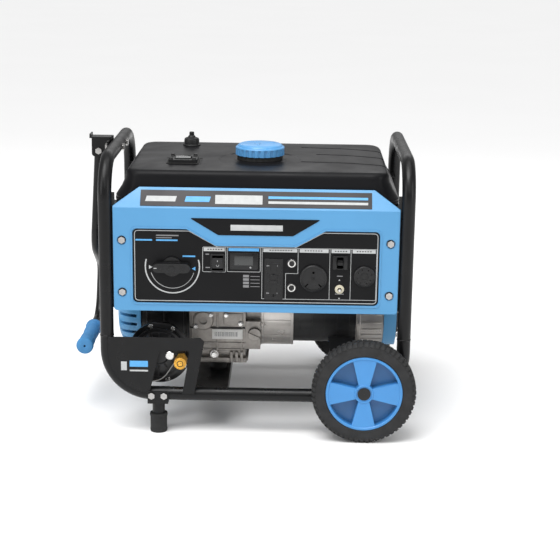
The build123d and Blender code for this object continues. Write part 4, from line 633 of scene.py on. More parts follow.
# display frame, glass and lamp
add_prism(rounded(panel_rectangle(-53, 350, 4, 385), 3), 1, PRINT_Y - 1.6, PRINT_Y, 0.5)
piece("display_frame", SOCKET_PLASTIC)
add_prism(panel_rectangle(-44, 359, -6, 378), 1, PRINT_Y - 1.75, PRINT_Y - 1.3, 0.15)
piece("display_glass", LCD)
lamp_x, lamp_z = on_panel(-11, 354.5)
add_lathe([(0, 0.5), (0, 1.8), (-0.6, 1.6), (-0.9, 0.5)], (lamp_x, PRINT_Y - 1.6, lamp_z), 1, 20)
piece("display_lamp", PRINT_PALE)

# switch surround
sx, switch_y, sz = front_of("engine_switch")
outer = rounded(rectangle(sx - 14.5, sz - 18.5, sx + 14.5, sz + 18.5), 2)
inner = rounded(rectangle(sx - 11.6, sz - 15.6, sx + 11.6, sz + 15.6), 1)
add_stroke([((a[0] + b[0]) / 2, (a[1] + b[1]) / 2) for a, b in zip(outer, inner)], 2.8, PLATE_Y, 2.2,
    closed=True)
piece("switch_surround", SOCKET_PLASTIC)
add_lathe([(0, 1.9), (0, 2.6), (-0.3, 2.6), (-0.3, 1.9)], (sx, switch_y + 3.3, sz - 5), 1, 24)
add_block((sx - 0.5, switch_y + 1.0, sz + 3), (sx + 0.5, switch_y + 1.6, sz + 7))
piece("switch_marks", PRINT_PALE, "switch")

# ring nuts round the push breakers and the voltage toggle
for node in ("upper_breaker", "lower_breaker"):
    spot = centre(node)
    add_lathe([(0, 5.4), (0, 8.2), (-0.8, 8.0), (-1.1, 7.2), (-0.9, 5.4)], (spot[0], PLATE_Y - 2.2, spot[2]),
        1, 40)
piece("breaker_rings", ZINC)
for node in ("upper_breaker", "lower_breaker"):
    spot = centre(node)
    add_lathe([(0.2, 8.05), (0.2, 10.4), (-1.8, 10.1), (-2.3, 9.3), (-2.3, 8.05)],
        (spot[0], PLATE_Y, spot[2]), 1, 40)
piece("breaker_collars", SOCKET_PLASTIC)
x, zz = MID + 172, centre("voltage_toggle")[2]
add_lathe([(0, 4.9), (0, 9.5), (-1.0, 9.3), (-1.2, 8), (-1.2, 4.9)], (x, PLATE_Y, zz), 1, 40)
add_lathe([(-1.0, 4.85), (-1.0, 7.6), (-3.6, 7.2), (-4.2, 5.6), (-4.2, 4.85)], (x, PLATE_Y, zz), 1, 6)
piece("toggle_ring_nut", CREAM)

# main breaker body
lx, _, lz = front_of("main_breaker_lever")
for x0, x1, z0, z1 in ((-15, -7, -14, 14), (7, 15, -14, 14), (-7, 7, 11.8, 14), (-7, 7, -14, -11.8)):
    add_block((lx + x0, PLATE_Y - 5.5, lz + z0), (lx + x1, PLATE_Y, lz + z1), 0.6)
piece("main_breaker_body", SOCKET_PLASTIC)
gx, gfront, gz = front_of("gfci_receptacle")
rx, rfront, rz = front_of("round_receptacle")

# receptacle faces
for dz in (22, -22):
    face = []
    for x, z in arc_points(gx, gz + dz, 17, 0, 360, 40)[:-1]:
        face.append((x, max(gz + dz - 12.0, min(gz + dz + 12.0, z))))
    add_stroke(face, 1.1, gfront, 0.7, closed=True)
for dx in (-13.5, 13.5):
    add_block((gx + dx - 0.6, gfront - 0.5, gz - 12), (gx + dx + 0.6, gfront, gz + 12))
add_lathe([(0, 24), (0, 27.8), (-1.2, 27.6), (-2.0, 26.6), (-1.4, 24)], (rx, rfront, rz), 1, 56)
add_lathe([(0, 2.2), (0, 3.8), (-0.8, 3.5), (-0.8, 2.4)], (rx, rfront, rz), 1, 28)
tx, tfront, tz = front_of("twist_receptacle")
add_lathe([(0, 19), (0, 21.8), (-0.9, 21.6), (-1.5, 20.8), (-1.0, 19)], (tx, tfront, tz), 1, 56)
add_lathe([(0, 6.0), (0, 8.4), (-1.0, 8.1), (-1.0, 6.4)], (tx, tfront, tz), 1, 36)
piece("receptacle_ridges", SOCKET_PLASTIC)
# dark arc bands over the twist-lock slots: painted shade of the slot openings
for angle in (38, 128, 218, 308):
    add_stroke(arc_points(tx, tz, 15, angle - 19, angle + 19, 10), 4.3, tfront, 0.12)
piece("twist_lock_slot_shade_bands", TITLE_FILM_AND_SLOT_SHADE)
for angle in (38, 128, 218, 308):
    add_stroke(arc_points(tx, tz, 15, angle - 18, angle + 18, 10), 2.8, tfront - 0.1, 0.1)
for dx in (-6.35, 6.35):
    for dz in (22, -22):
        add_block((gx + dx - 1.3, gfront - 0.12, gz + dz - 4.6), (gx + dx + 1.3, gfront, gz + dz + 4.6))
add_lathe([(0, 0.3), (0, 2.2), (-0.15, 2.2), (-0.15, 0.3)], (rx, rfront, rz), 1, 20)
piece("socket_slot_shadows", DARK_PRINT_AND_RECESS_SHADE)
for dx0, dx1, dz, half in ((-13, -9, 29, 0.9), (-14.5, -13, 29, 1.8), (7, 8, 29, 1.6), (-13, -9, -29, 0.9),
        (-14.5, -13, -29, 1.8), (7, 8, -29, 1.6)):
    add_block((gx + dx0, gfront - 0.12, gz + dz - half), (gx + dx1, gfront, gz + dz + half))
piece("duplex_marks", PRINT_GREY)

# selector knob detail
kx, kfront, kz = front_of("selector_knob")
add_lathe([(0, 0.5), (0, 6.6), (-0.8, 6.2), (-1.2, 5.0), (-0.9, 0.5)], (kx, kfront, kz), 1, 36)
for i in range(-1, 2):
    for sign in (-1, 1):
        x = kx + sign * (22 + 4 * i)
        add_block((x - 0.6, kfront - 0.6, kz - 6), (x + 0.6, kfront, kz + 6), 0.25)
piece("selector_cap", SOCKET_PLASTIC, "selector")
add_block((kx - 36, kfront - 0.2, kz - 0.8), (kx - 30, kfront, kz + 0.8))
piece("selector_pointer", PRINT_PALE, "selector")

# ------------------------------------------------------------------ bezel dress

facet = math.atan2(28.0, 38.0)
strip_low = Vector((0, FACE_Y, BEZEL_HIGH[2] - 38))
along = Vector((0, math.sin(facet), math.cos(facet)))
out = Vector((0, -math.cos(facet), math.sin(facet)))


def on_facet(x, t, lift):
    """A place on the sloped facet: X from the middle, millimetres up the slope, and proud of it."""
    return Vector((MID + x, 0, 0)) + strip_low + along * t + out * lift


def facet_plate(x0, x1, t0, t1, lift, thick, lean=0.0):
    """A thin plate on the facet."""
    corners = [(x0, t0), (x1, t0), (x1 + lean, t1), (x0 + lean, t1)]
    low = [build.verts.new(on_facet(x, t, lift - thick)) for x, t in corners]
    high = [build.verts.new(on_facet(x, t, lift)) for x, t in corners]
    skin([low, high])


facet_plate(-236, 234, 4.5, 40.5, 0.8, 0.8)
piece("title_strip", TITLE_FILM_AND_SLOT_SHADE)
facet_plate(-226, -165, 15, 27, 0.95, 0.15, 3)
facet_plate(-84, 12, 11, 31, 0.95, 0.15)
facet_plate(24, 226, 13, 18.5, 0.95, 0.15)
piece("title_strip_pale_bars", PRINT_PALE)
facet_plate(-146, -96, 15, 27, 0.95, 0.15, 3)
facet_plate(24, 226, 24, 29.5, 0.95, 0.15)
piece("title_strip_blue_bars", PRINT_BLUE)

add_prism(rounded([on_panel(-77, 422), on_panel(75, 422), on_panel(131, 456.5), on_panel(-135, 456.5)], 1.5),
    1, FACE_Y - 0.9, FACE_Y + 0.2, 0.3)
piece("trapezoid_badge", PLATE_BLACK)
add_block((MID - 52, FACE_Y - 1.05, 432 + LIFT), (MID + 54, FACE_Y - 0.85, 444 + LIFT), 0.05)
piece("trapezoid_pale_bar", PRINT_PALE)

# raised lip around the bezel's cut-out
lip = rounded([on_panel(x + (2.2 if x > 0 else -2.2), z + (-2.2 if z < 300 else 2.2)) for x, z in outline],
    10)
add_stroke(lip, 3.2, FACE_Y + 0.2, 1.4, closed=True)
piece("cutout_lip", BLUE_PAINT, smooth=80.0)

# bezel screw washers, black so that they paint the shadow ring round each screw head
for x in (-274, 274):
    for z in (299.0, 408.5):
        spot = (MID + x, PLATE_Y, z + LIFT)
        add_lathe([(0.2, 4), (0.2, 8.2), (-0.6, 8.0), (-1.2, 6.8), (-1.2, 4)], spot, 1, 36)
piece("bezel_washer_shadow_rings", BLACK_ENAMEL)

# black strips behind the gaps between the bezel and the posts: stand-ins for the brackets behind them, and
# painted shade that keeps the gaps dark
for sign in (-1, 1):
    x0, x1 = sorted((MID + sign * 288, MID + sign * 297))
    add_block((x0, FACE_Y + 6, BEZEL_LOW[2] + 4), (x1, FACE_Y + 10, BEZEL_HIGH[2] - 8), 1)
piece("bezel_gap_shade_strips", RUBBER)

# ------------------------------------------------------------------ fuel tank

cap_x, cap_y = centre("fuel_cap")[0], centre("fuel_cap")[1]
gauge = centre("fuel_gauge")
tank_lo, tank_hi = box("fuel_tank")
TANK_X, TANK_Y = (tank_lo[0] + tank_hi[0]) / 2, (tank_lo[1] + tank_hi[1]) / 2
CROWN_X = (tank_hi[0] - tank_lo[0]) / 2 - 20
CROWN_Y = (tank_hi[1] - tank_lo[1]) / 2 - 5
CROWN_CORNER = 36
EDGE_R = 13
DOME_FALL, DOME_REACH = 4.5, 105
NECK_R = 28
# each groove's start X, start Y and end Y at the tank's right edge, X from the frame's middle
GROOVES = ((95, 105, 80), (127, 14, -8), (94, -82, -100))


def ease(value, low, high):
    """0 below low, 1 above high, smooth between."""
    t = max(0.0, min(1.0, (value - low) / (high - low)))
    return t * t * (3 - 2 * t)


def off_segment(x, y, x0, y0, x1, y1):
    """Distance from a point to a line segment."""
    along_x, along_y = x1 - x0, y1 - y0
    t = ((x - x0) * along_x + (y - y0) * along_y) / (along_x ** 2 + along_y ** 2)
    t = max(0.0, min(1.0, t))
    return math.hypot(x - x0 - t * along_x, y - y0 - t * along_y)


def tank_height_at(x, y):
    """The pressed top's height, from the tank's middle."""
    qx = abs(x) - (CROWN_X - CROWN_CORNER)
    qy = abs(y) - (CROWN_Y - CROWN_CORNER)
    inside = CROWN_CORNER - math.hypot(max(qx, 0), max(qy, 0)) - min(max(qx, qy), 0)
    inside = max(0.0, inside)
    z = TANK_TOP - DOME_FALL * (1 - min(1.0, inside / DOME_REACH)) ** 2
    if inside < EDGE_R:
        z -= EDGE_R - math.sqrt(max(0.0, EDGE_R ** 2 - (EDGE_R - inside) ** 2))
    near_edge = ease(inside, 2, 11)
    for gx0, gy0, gy1 in GROOVES:
        away = off_segment(x, y, MID + gx0 - TANK_X, gy0 - TANK_Y, CROWN_X + 20, gy1 - TANK_Y)
        z -= 5.0 * (1 - ease(away, 2.6, 4.8)) * near_edge
    round_cap = math.hypot(x + TANK_X - cap_x, y + TANK_Y - cap_y)
    z -= 2.0 * ease(round_cap, 52, 57) * (1 - ease(round_cap, 84, 90)) * near_edge
    gauge_off = max(abs(x + TANK_X - gauge[0]), abs(y + TANK_Y - gauge[1]))
    z -= 1.2 * (1 - ease(gauge_off, 36, 39))
    return z


def spread(reach, fine_at, coarse=6.0, fine=1.6, span=11.0):
    """Grid lines from -reach to reach, closer together near the given places."""
    lines = [-reach]
    while lines[-1] < reach - 0.4:
        here = lines[-1]
        close = min(abs(here - spot) for spot in fine_at + [-reach, reach])
        lines.append(min(reach, here + (fine if close < span else coarse)))
    return lines


gauge_lines = [gauge[0] - 37 - TANK_X, gauge[0] + 37 - TANK_X]
line_ends = [MID + g[0] - TANK_X for g in GROOVES]
columns = spread(CROWN_X, gauge_lines + line_ends + [cap_x - TANK_X + a for a in (-88, -54, 54, 88)])
rows_y = spread(CROWN_Y, [gauge[1] - 37, gauge[1] + 37, cap_y - 54, cap_y + 54, 92, 3, -91], 2.2, 1.0, 15.0)


def crown_reach(y, half_x, half_y, corner):
    """Half the rounded outline's width in X at a distance in Y from its middle."""
    past = abs(y) - (half_y - corner)
    if past <= 0:
        return half_x
    return half_x - corner + math.sqrt(max(0.0, corner ** 2 - past ** 2))


grid = []
for y in rows_y:
    reach = crown_reach(y, CROWN_X, CROWN_Y, CROWN_CORNER)
    row = []
    for x in columns:
        spot_x = x * reach / CROWN_X
        row.append(build.verts.new((TANK_X + spot_x, TANK_Y + y, tank_height_at(spot_x, y))))
    grid.append(row)
for low_row, high_row in zip(grid, grid[1:]):
    for i in range(len(columns) - 1):
        corners = (low_row[i], low_row[i + 1], high_row[i + 1], high_row[i])
        middle_x = sum(v.co.x for v in corners) / 4 - cap_x
        middle_y = sum(v.co.y for v in corners) / 4 - cap_y
        if math.hypot(middle_x, middle_y) > NECK_R + 3.5:
            build.faces.new(corners)
rim = grid[0] + [row[-1] for row in grid[1:]] + grid[-1][-2::-1] + [row[0] for row in grid[-2:0:-1]]
skirt_x, skirt_y = (tank_hi[0] - tank_lo[0]) / 2, (tank_hi[1] - tank_lo[1]) / 2
# each ring's inset from the skirt in X and Y, its corner radius, and its height from the tank's top
WALL = ((19.0, 4.6, 36, -24.0), (12.0, 3.2, 38, -40.0), (1.6, 0.9, 40, -56.5), (0.3, 0.2, 40, -57.6),
    (0.0, 0.0, 40, -59.0), (0.0, 0.0, 40, -70.6), (1.4, 1.4, 39, -72.0))
rings = [rim]
flat_x, flat_y = CROWN_X - CROWN_CORNER, CROWN_Y - CROWN_CORNER
for in_x, in_y, corner, drop in WALL:
    half_x, half_y = skirt_x - in_x, skirt_y - in_y
    ring = []
    for v in rim:
        x, y = v.co.x - TANK_X, v.co.y - TANK_Y
        past = abs(y) - flat_y
        if past <= 0:
            new_x, new_y = math.copysign(half_x, x), y * (half_y - corner) / flat_y
        elif abs(x) >= flat_x:
            turn_by = math.asin(min(1.0, past / CROWN_CORNER))
            new_x = math.copysign(half_x - corner + corner * math.cos(turn_by), x)
            new_y = math.copysign(half_y - corner + corner * math.sin(turn_by), y)
        else:
            new_x, new_y = x * (half_x - corner) / flat_x, math.copysign(half_y, y)
        ring.append(build.verts.new((TANK_X + new_x, TANK_Y + new_y, TANK_TOP + drop)))
    rings.append(ring)
build.faces.remove(skin(rings)[0])  # the pressing itself closes the top
tank = piece("tank_pressing", TANK_PAINT, smooth=50.0)
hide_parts("fuel_tank")
add_lathe([(-18, NECK_R + 0.05), (-18, NECK_R + 2), (-3.5, NECK_R + 2), (-2.4, NECK_R + 12),
    (-0.05, NECK_R + 12), (-0.05, NECK_R + 0.6), (-0.6, NECK_R + 0.05)], (cap_x, cap_y, TANK_TOP), 2, 72)
piece("tank_neck", TANK_PAINT)

# gauge gasket, window, ticks and screws
add_block((gauge[0] - 33.5, gauge[1] - 33.5, TANK_TOP - 0.8), (gauge[0] + 33.5, gauge[1] + 33.5,
    TANK_TOP + 0.6), 0.4)
piece("gauge_gasket", RUBBER)
gauge_top = highest("fuel_gauge")[2]
add_block((gauge[0] - 16, gauge[1] - 16, gauge_top - 2.9), (gauge[0] + 16, gauge[1] + 16, gauge_top + 2.6),
    1.6)
piece("gauge_glass", LCD)
for i in range(5):
    angle = math.radians(40 + i * 25)
    add_block((-0.4, 9, 0), (0.4, 12, 0.15), 0, turned((gauge[0], gauge[1] - 6, gauge_top + 2.6),
        angle - math.pi / 2, "Z"))
piece("gauge_ticks", PRINT_PALE)
for dx in (-24, 24):
    for dy in (-24, 24):
        add_hex((gauge[0] + dx, gauge[1] + dy, gauge_top), 2, 1, 7, 3, 5)
piece("gauge_screws", BLACK_ENAMEL)

# vent valve
valve = centre("vent_valve")
add_lathe([(-2, 0.4), (-2, 19.6), (1.4, 20), (2.6, 18.8), (3.2, 17.2), (13, 16.7), (15.6, 15.4), (17, 12.6),
    (18.2, 8.8), (20, 8), (21.6, 6.7), (22.2, 5.6), (28.8, 5.4), (29.8, 4.6), (29.8, 0.4)],
    (valve[0], valve[1], TANK_TOP), 2, 64)
vent = piece("stepped_vent_valve", BLACK_PLASTIC, smooth=28.0)
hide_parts("vent_valve")

# cap crown and its three raised bars
cap_hi = highest("fuel_cap")
add_lathe([(-1.0, 0.5), (-1.0, 48.6), (1.4, 47.6), (3.4, 45.4), (4.6, 42.4), (5.3, 38), (5.8, 25),
    (6.0, 0.5)], (cap_x, cap_y, cap_hi[2]), 2, 96)
for i in range(3):
    add_block((6, -2, 4.4), (34, 2, 6.5), 0.6, turned((cap_x, cap_y, cap_hi[2]), math.tau * i / 3 + 0.4, "Z"))
piece("cap_crown", CAP_BLUE, "cap_top")

# tank flange bolts and the seam round the skirt
for edge_x, sign in ((lowest("fuel_tank")[0], 1), (highest("fuel_tank")[0], -1)):
    for y in (-172, 172):
        add_hex((edge_x + sign * 9, y, lowest("fuel_tank")[2] - 4), 2, -1, 12, 6, 9)
piece("tank_bolts", ZINC)
tank_rectangle = (tank_lo[0], tank_lo[1], tank_hi[0], tank_hi[1])
ring, inner_ring = [rounded(rectangle(*[c + grow * s for c, s in zip(tank_rectangle, (-1, -1, 1, 1))]), bend,
    12) for grow, bend in ((0.6, 40), (-3, 38))]
rows = []
seam_z = tank_lo[2] + 7
for (ax, ay), (bx, by) in zip(ring, inner_ring):
    rows.append([build.verts.new((x, y, z)) for x, y, z in ((bx, by, seam_z + 1.6), (ax, ay, seam_z + 1.4),
        (ax, ay, seam_z - 1.4), (bx, by, seam_z - 1.6))])
skin(rows, True)
piece("tank_weld_seam", TANK_PAINT)

# ------------------------------------------------------------------ wheels

for which in ("front", "rear"):
    lo, hi = box(f"{which}_tyre")
    cx, cz = (lo[0] + hi[0]) / 2, (lo[2] + hi[2]) / 2
    cy = (lo[1] + hi[1]) / 2
    R = (hi[0] - lo[0]) / 2
    half = (hi[1] - lo[1]) / 2
    inner = (highest(f"{which}_rim")[0] - lowest(f"{which}_rim")[0]) / 2 + 0.2
    depth = 2.6
    side_profile = [(-half * 0.9, inner), (-half, inner + 2.5), (-half * 0.97, inner + 5),
        (-half * 0.99, inner + 9), (-half * 0.95, R - 13), (-half * 0.86, R - 5.6), (-half * 0.62, R - depth),
        (-half * 0.3, R - depth + 0.8)]
    profile = side_profile + [(-a, r) for a, r in reversed(side_profile)]
    add_lathe(profile, (cx, cy, cz), 1, 120)
    blocks = 58
    for i in range(blocks):
        for sign in (-1, 1):
            angle = math.tau * (i + (0.25 if sign > 0 else 0.0)) / blocks
            width = math.tau / blocks * 0.62
            shape = [(0.10, R - depth - 0.5), (0.10, R), (0.60, R - 0.3), (0.84, R - 2.6), (0.955, R - 6.0),
                (0.90, R - 9), (0.78, R - 6.5), (0.60, R - 4.0)]
            rows = []
            for step in (-0.5, 0.5):
                row = []
                for along_y, r in shape:
                    t = angle + width * step + 0.035 * along_y
                    row.append(build.verts.new((cx + r * math.cos(t), cy + sign * along_y * half,
                        cz + r * math.sin(t))))
                rows.append(row)
            skin(rows)
    tyre = piece(f"{which}_tread_tyre", TYRE, f"{which}_wheel", 38.0)
    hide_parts(f"{which}_tyre")

    face = -1 if which == "front" else 1
    rim_face = (lowest if face < 0 else highest)(f"{which}_rim")[1]
    rim_r = inner - 0.2
    add_lathe([(0, rim_r - 6), (face * 1.4, rim_r - 4.6), (face * 1.45, rim_r - 2), (face * 0.8, rim_r - 0.4),
        (-face * 2, rim_r - 0.2), (-face * 2, rim_r - 6)], (cx, rim_face, cz), 1, 120)
    add_lathe([(0, 16), (face * 1.2, 16.6), (face * 1.3, 19), (0, 19.9), (-face * 1, 19.9), (-face * 1, 16)],
        (cx, rim_face, cz), 1, 64)
    piece(f"{which}_rim_lip", BLUE_PLASTIC, f"{which}_wheel")
    crown = [(-face * 1.5, 8.6), (-face * 0.5, 13.6), (face * 0.9, 13.4)]
    for i in range(6):
        t = i / 5 * math.pi / 2
        crown.append((face * (0.9 + 0.36 * math.sin(t)), (12.8 * math.cos(t) + 0.4)))
    crown.append((-face * 1.4, 0.4))
    add_lathe(crown, (cx, rim_face, cz), 1, 48)
    piece(f"{which}_hub_cap", SOCKET_PLASTIC, f"{which}_wheel", 50.0)

# ------------------------------------------------------------------ handle grip

grip_lo, grip_hi = box("handle_grip")
grip_x, grip_z = (grip_lo[0] + grip_hi[0]) / 2, (grip_lo[2] + grip_hi[2]) / 2
grip_r = (grip_hi[0] - grip_lo[0]) / 2
length = grip_hi[1] - grip_lo[1]
profile = [(0.2, 2.4), (0, 3), (0, grip_r - 4), (1.2, grip_r - 1.2), (4, grip_r), (9, grip_r),
    (11, grip_r - 3.4)]
ribs = 26
for i in range(ribs):
    start = 11 + (length - 24) * i / ribs
    rib_pitch = (length - 24) / ribs
    swell = 1.1 * math.sin(math.pi * (i + 0.5) / ribs * 2) ** 2
    base_r = grip_r - 4.2 + swell
    profile += [(start + rib_pitch * 0.15, base_r), (start + rib_pitch * 0.3, base_r + 1.2),
        (start + rib_pitch * 0.75, base_r + 1.2), (start + rib_pitch * 0.9, base_r)]
profile += [(length - 11, grip_r - 3.4), (length - 9, grip_r), (length - 3, grip_r), (length, grip_r - 2.5),
    (length, 11.15), (5, 11.15), (5, 2.4)]
add_lathe(profile, (grip_x, grip_lo[1], grip_z), 1, 56)
grip = piece("ribbed_grip", GRIP_BLUE, "handle", 40.0)
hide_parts("handle_grip")

# ------------------------------------------------------------------ engine

crank_z = centre("crankshaft")[2]
rec_lo, rec_hi = box("recoil_cover")
rec_r = (rec_hi[1] - rec_lo[1]) / 2
for sign in (-1, 1):
    for i in range(7):
        z = crank_z - 66 + i * 20
        reach = math.sqrt(rec_r ** 2 - (z - crank_z) ** 2)
        y0, y1 = sorted((sign * (reach + 8), sign * (reach - 13)))
        mid_x = (rec_lo[0] + rec_hi[0]) / 2
        half = (rec_hi[0] - rec_lo[0]) / 2
        tilt = turned((mid_x, 0, z), math.radians(5), "Y")
        add_block((5 - half, y0, -3.4), (half - 9, y1, 3.4), 0, tilt)
recoil = carve("louvred_recoil_cover", "recoil_cover", BLUE_PAINT)
for i in range(3):
    angle = math.tau * i / 3 + 0.5
    add_hex((rec_hi[0] - 5, (rec_r - 0.5) * math.cos(angle), crank_z + (rec_r - 0.5) * math.sin(angle)), 0,
        -1, 8, 4, 0)
piece("recoil_bolts", ZINC)
add_lathe([(-1.5, 4), (-1.5, 22), (0.5, 26), (0.5, 4)], (rec_lo[0] + 1, 0, crank_z), 0, 48)
piece("recoil_boss", BLUE_PAINT)

# blower housing bands
blo, bhi = box("blower_housing")
br = (bhi[1] - blo[1]) / 2
for x in (blo[0] + 14, blo[0] + 52, bhi[0] - 12):
    add_lathe([(-3, br - 0.2), (-2, br + 2), (2, br + 2), (3, br - 0.2)], (x, 0, crank_z), 0, 96)
add_block((blo[0] + 20, -br - 14, crank_z + 6), (bhi[0] - 20, -br + 12, crank_z + 50), 5)
piece("blower_ribs", BLACK_ENAMEL)
for x in (blo[0] + 28, bhi[0] - 28):
    for z in (14, 42):
        add_hex((x, -br - 14, crank_z + z), 1, -1, 8, 4, 6)
piece("blower_bolts", ZINC)

# crankcase casting
ccl, cch = box("crankcase")
case_x0, case_x1 = ccl[0] + 5, cch[0] - 5
front = lowest("crankcase")[1]
base = ccl[2]
plug = centre("oil_plug")
for up_mm in (30, 44, 114, 128):
    z = base + up_mm
    add_block((case_x0 + 2, front - 3.4, z - 2), (case_x1 - 2, front + 4, z + 2), 1.4)
for x in (case_x0 + 6, (case_x0 + case_x1) / 2, case_x1 - 8):
    add_block((x - 2, front - 2.6, base + 8), (x + 2, front + 4, base + 130), 1.2)
add_block((case_x0 - 3, front - 6, base + 1), (case_x1 + 3, front + 12, base + 12), 2.5)
add_block((case_x1 - 34, front - 8, base + 118), (case_x1 + 4, front + 8, base + 144), 4)
for i in range(3):
    x = case_x1 - 30 + i * 11
    add_block((x - 3.5, front - 9, base + 2), (x + 3.5, front + 4, base + 26), 2.4)
add_lathe([(6, 2), (6, 12), (-5, 11), (-6.5, 9.5), (-6.5, 2)], (MID - 91, front, base + 20), 1, 40)
add_lathe([(6, 8), (6, 24), (-3.5, 21), (-5, 19), (-5, 8)], (case_x0 + 30, front, base + 94), 1, 56)
add_block((case_x1 - 48, front - 4.5, base + 84), (case_x1 - 6, front + 6, base + 112), 3)
piece("crankcase_ribs", CAST)
add_block((case_x1 - 1.0, -96, base + 4), (case_x1 + 1.2, 90, base + 181))
add_block((case_x0 + 1, front - 3.2, base + 77), (case_x1 - 1, front + 3, base + 80), 0.4)
piece("crankcase_gasket", BLACK_ENAMEL)
for angle in range(0, 360, 45):
    t = math.radians(angle + 22)
    y, z = 84 * math.cos(t), crank_z + 84 * math.sin(t)
    if y < 30:
        add_hex((highest("crankcase_cover")[0], y, z), 0, 1, 9, 5, 7)
add_hex((MID - 91, front - 6, base + 20), 1, -1, 13, 7, 9)
for x, up_mm in ((case_x0 + 14, 82), (case_x0 + 46, 108), (case_x1 - 4, 127), (case_x1 - 42, 108),
        (case_x1 - 11, 89)):
    add_hex((x, front - 6.5, base + up_mm), 1, -1, 8, 4.5, 5.5)
add_hex((case_x1 - 20, front - 7.6, base + 131), 1, -1, 13, 8, 9)
piece("crankcase_bolts", ZINC)
label_z = crank_z - 38
add_block((MID - 96, front - 5.2, label_z - 11), (MID - 30, front - 3, label_z + 11), 0.3)
piece("crankcase_label", LABEL)
x = MID - 90
for i in range(21):
    width = (0.8, 1.3, 0.8, 1.7)[i % 4]
    add_block((x, front - 5.35, label_z - 5), (x + width, front - 5.1, label_z + 5))
    x += width + (1.3, 0.9, 1.6)[i % 3]
piece("crankcase_label_stripes", PRINT_GREY)

# oil plug knurl
pfront = lowest("oil_plug")[1]
for i in range(22):
    add_block((13.0, 0, -1.0), (14.2, 6.4, 1.0), 0.3, turned((plug[0], pfront + 0.8, plug[2]),
        math.tau * i / 22, "Y"))
piece("oil_plug_knurl", BLACK_PLASTIC, "dipstick")

# alternator: bell ribs and rings, stator bands, cover ribs and through bolts
belo, behi = box("alternator_bell")
ber = behi[2] - crank_z
add_lathe([(0.5, ber - 0.3), (1, ber + 1.4), (5, ber + 1.4), (7, ber - 0.3)], (belo[0], 0, crank_z), 0, 96)
add_lathe([(-6, ber - 0.3), (-5, ber + 1.6), (-1, ber + 1.6), (-0.5, ber - 0.3)], (behi[0], 0, crank_z), 0,
    96)
for i in range(14):
    add_block((belo[0] + 3, ber - 6, -7), (behi[0] - 3, ber + 1.2, 7), 2.5,
        turned((0, 0, crank_z), math.tau * (i + 0.5) / 14, "X"))
piece("bell_rings", TURNED)
slo, shi = box("stator")
sr = shi[2] - crank_z
for angle in (35, 325):
    t = math.radians(angle)
    add_lathe([(slo[0] - 4, 0.5), (slo[0] - 4, 3), (shi[0] + 3, 3), (shi[0] + 3, 0.5)],
        (0, (sr + 2) * math.cos(t), crank_z + (sr + 2) * math.sin(t)), 0, 16)
for i in range(5):
    x = slo[0] + 14 + i * 27
    add_lathe([(-0.5, sr - 0.3), (-0.4, sr + 0.35), (0.4, sr + 0.35), (0.5, sr - 0.3)], (x, 0, crank_z), 0,
        96)
piece("stator_bands", BLACK_ENAMEL)
cvl, cvh = box("alternator_cover")
cvr = cvh[2] - crank_z
for i in range(30):
    angle = math.tau * i / 30
    add_block((cvl[0] + 12, cvr - 1, -1.6), (cvh[0] - 10, cvr + 1.6, 1.6), 0.8,
        turned((0, 0, crank_z), angle, "X"))
add_lathe([(1, cvr - 0.3), (2, cvr + 2.6), (9, cvr + 2.6), (10, cvr - 0.3)], (cvl[0], 0, crank_z), 0, 96)
piece("alternator_cover_ribs", TURNED)
for angle in (35, 325):
    t = math.radians(angle)
    add_hex((shi[0] + 5, (sr + 2) * math.cos(t), crank_z + (sr + 2) * math.sin(t)), 0, 1, 9, 5, 0)
piece("through_bolt_nuts", ZINC)

# cylinder head: cover bolts and ribs
lean = math.radians(25)
eng_x = (case_x0 + case_x1) / 2
head_end = 218  # from the crank's axis to the head cover's outer face
turn_head = turned((eng_x, 0, crank_z), lean, "X")
for dx in (-36, 36):
    for dz in (-36, 36):
        add_lathe([(0, 0.5), (0, 6), (4, 5.4), (5, 0.5)], (dx, head_end, dz), 1, 6)
for v in build.verts:
    v.co = turn_head @ v.co
piece("head_cover_bolts", ZINC)
for i in range(6):
    add_block((-34, head_end - 1, -29 + i * 11), (34, head_end + 2, -25 + i * 11), 1.2)
for v in build.verts:
    v.co = turn_head @ v.co
piece("head_cover_ribs", CAST)

# air filter lid
alo, ahi = box("air_filter")
mid_z = alo[2] + (ahi[2] - alo[2]) * 0.62
ring = rounded(rectangle(alo[0] - 1, alo[1] - 1, ahi[0] + 1, ahi[1] + 1), 14, 8)
add_prism(ring, 2, mid_z - 3, mid_z + 3, 1.2)
for i in range(5):
    x = alo[0] + 24 + i * 23
    add_block((x - 3, ahi[1] - 2, alo[2] + 12), (x + 3, ahi[1] + 1.6, mid_z - 8), 1.4)
piece("air_filter_lid_rim", BLACK_PLASTIC)
ax, ay = (alo[0] + ahi[0]) / 2, ahi[1]
add_lathe([(-1, 1), (-1, 13), (7, 11.5), (8, 9), (8, 1)], (ax, ay, mid_z + 20), 1, 10)
piece("air_filter_knob", BLACK_PLASTIC)

# muffler guard
mhi = highest("muffler")
mx0, mx1 = mhi[0] - 176, mhi[0] - 14
mz0, mz1 = mhi[2] - 88, mhi[2] - 10
for i in range(9):
    z = mz0 + 8 + i * 7.6
    add_block((mx0 + 8, mhi[1] - 2, z - 1.6), (mx1 - 8, mhi[1] + 2.5, z + 1.6), 1.0)
for x in (mx0, mx1):
    add_block((x - 6, mhi[1] - 2, mz0), (x + 6, mhi[1] + 3, mz1), 1.5)
piece("muffler_guard", STEEL)
for x in (mx0, mx1):
    for z in (mz0 + 8, mz1 - 8):
        add_hex((x, mhi[1] + 3, z), 1, 1, 8, 4, 5.6)
piece("muffler_screws", ZINC)

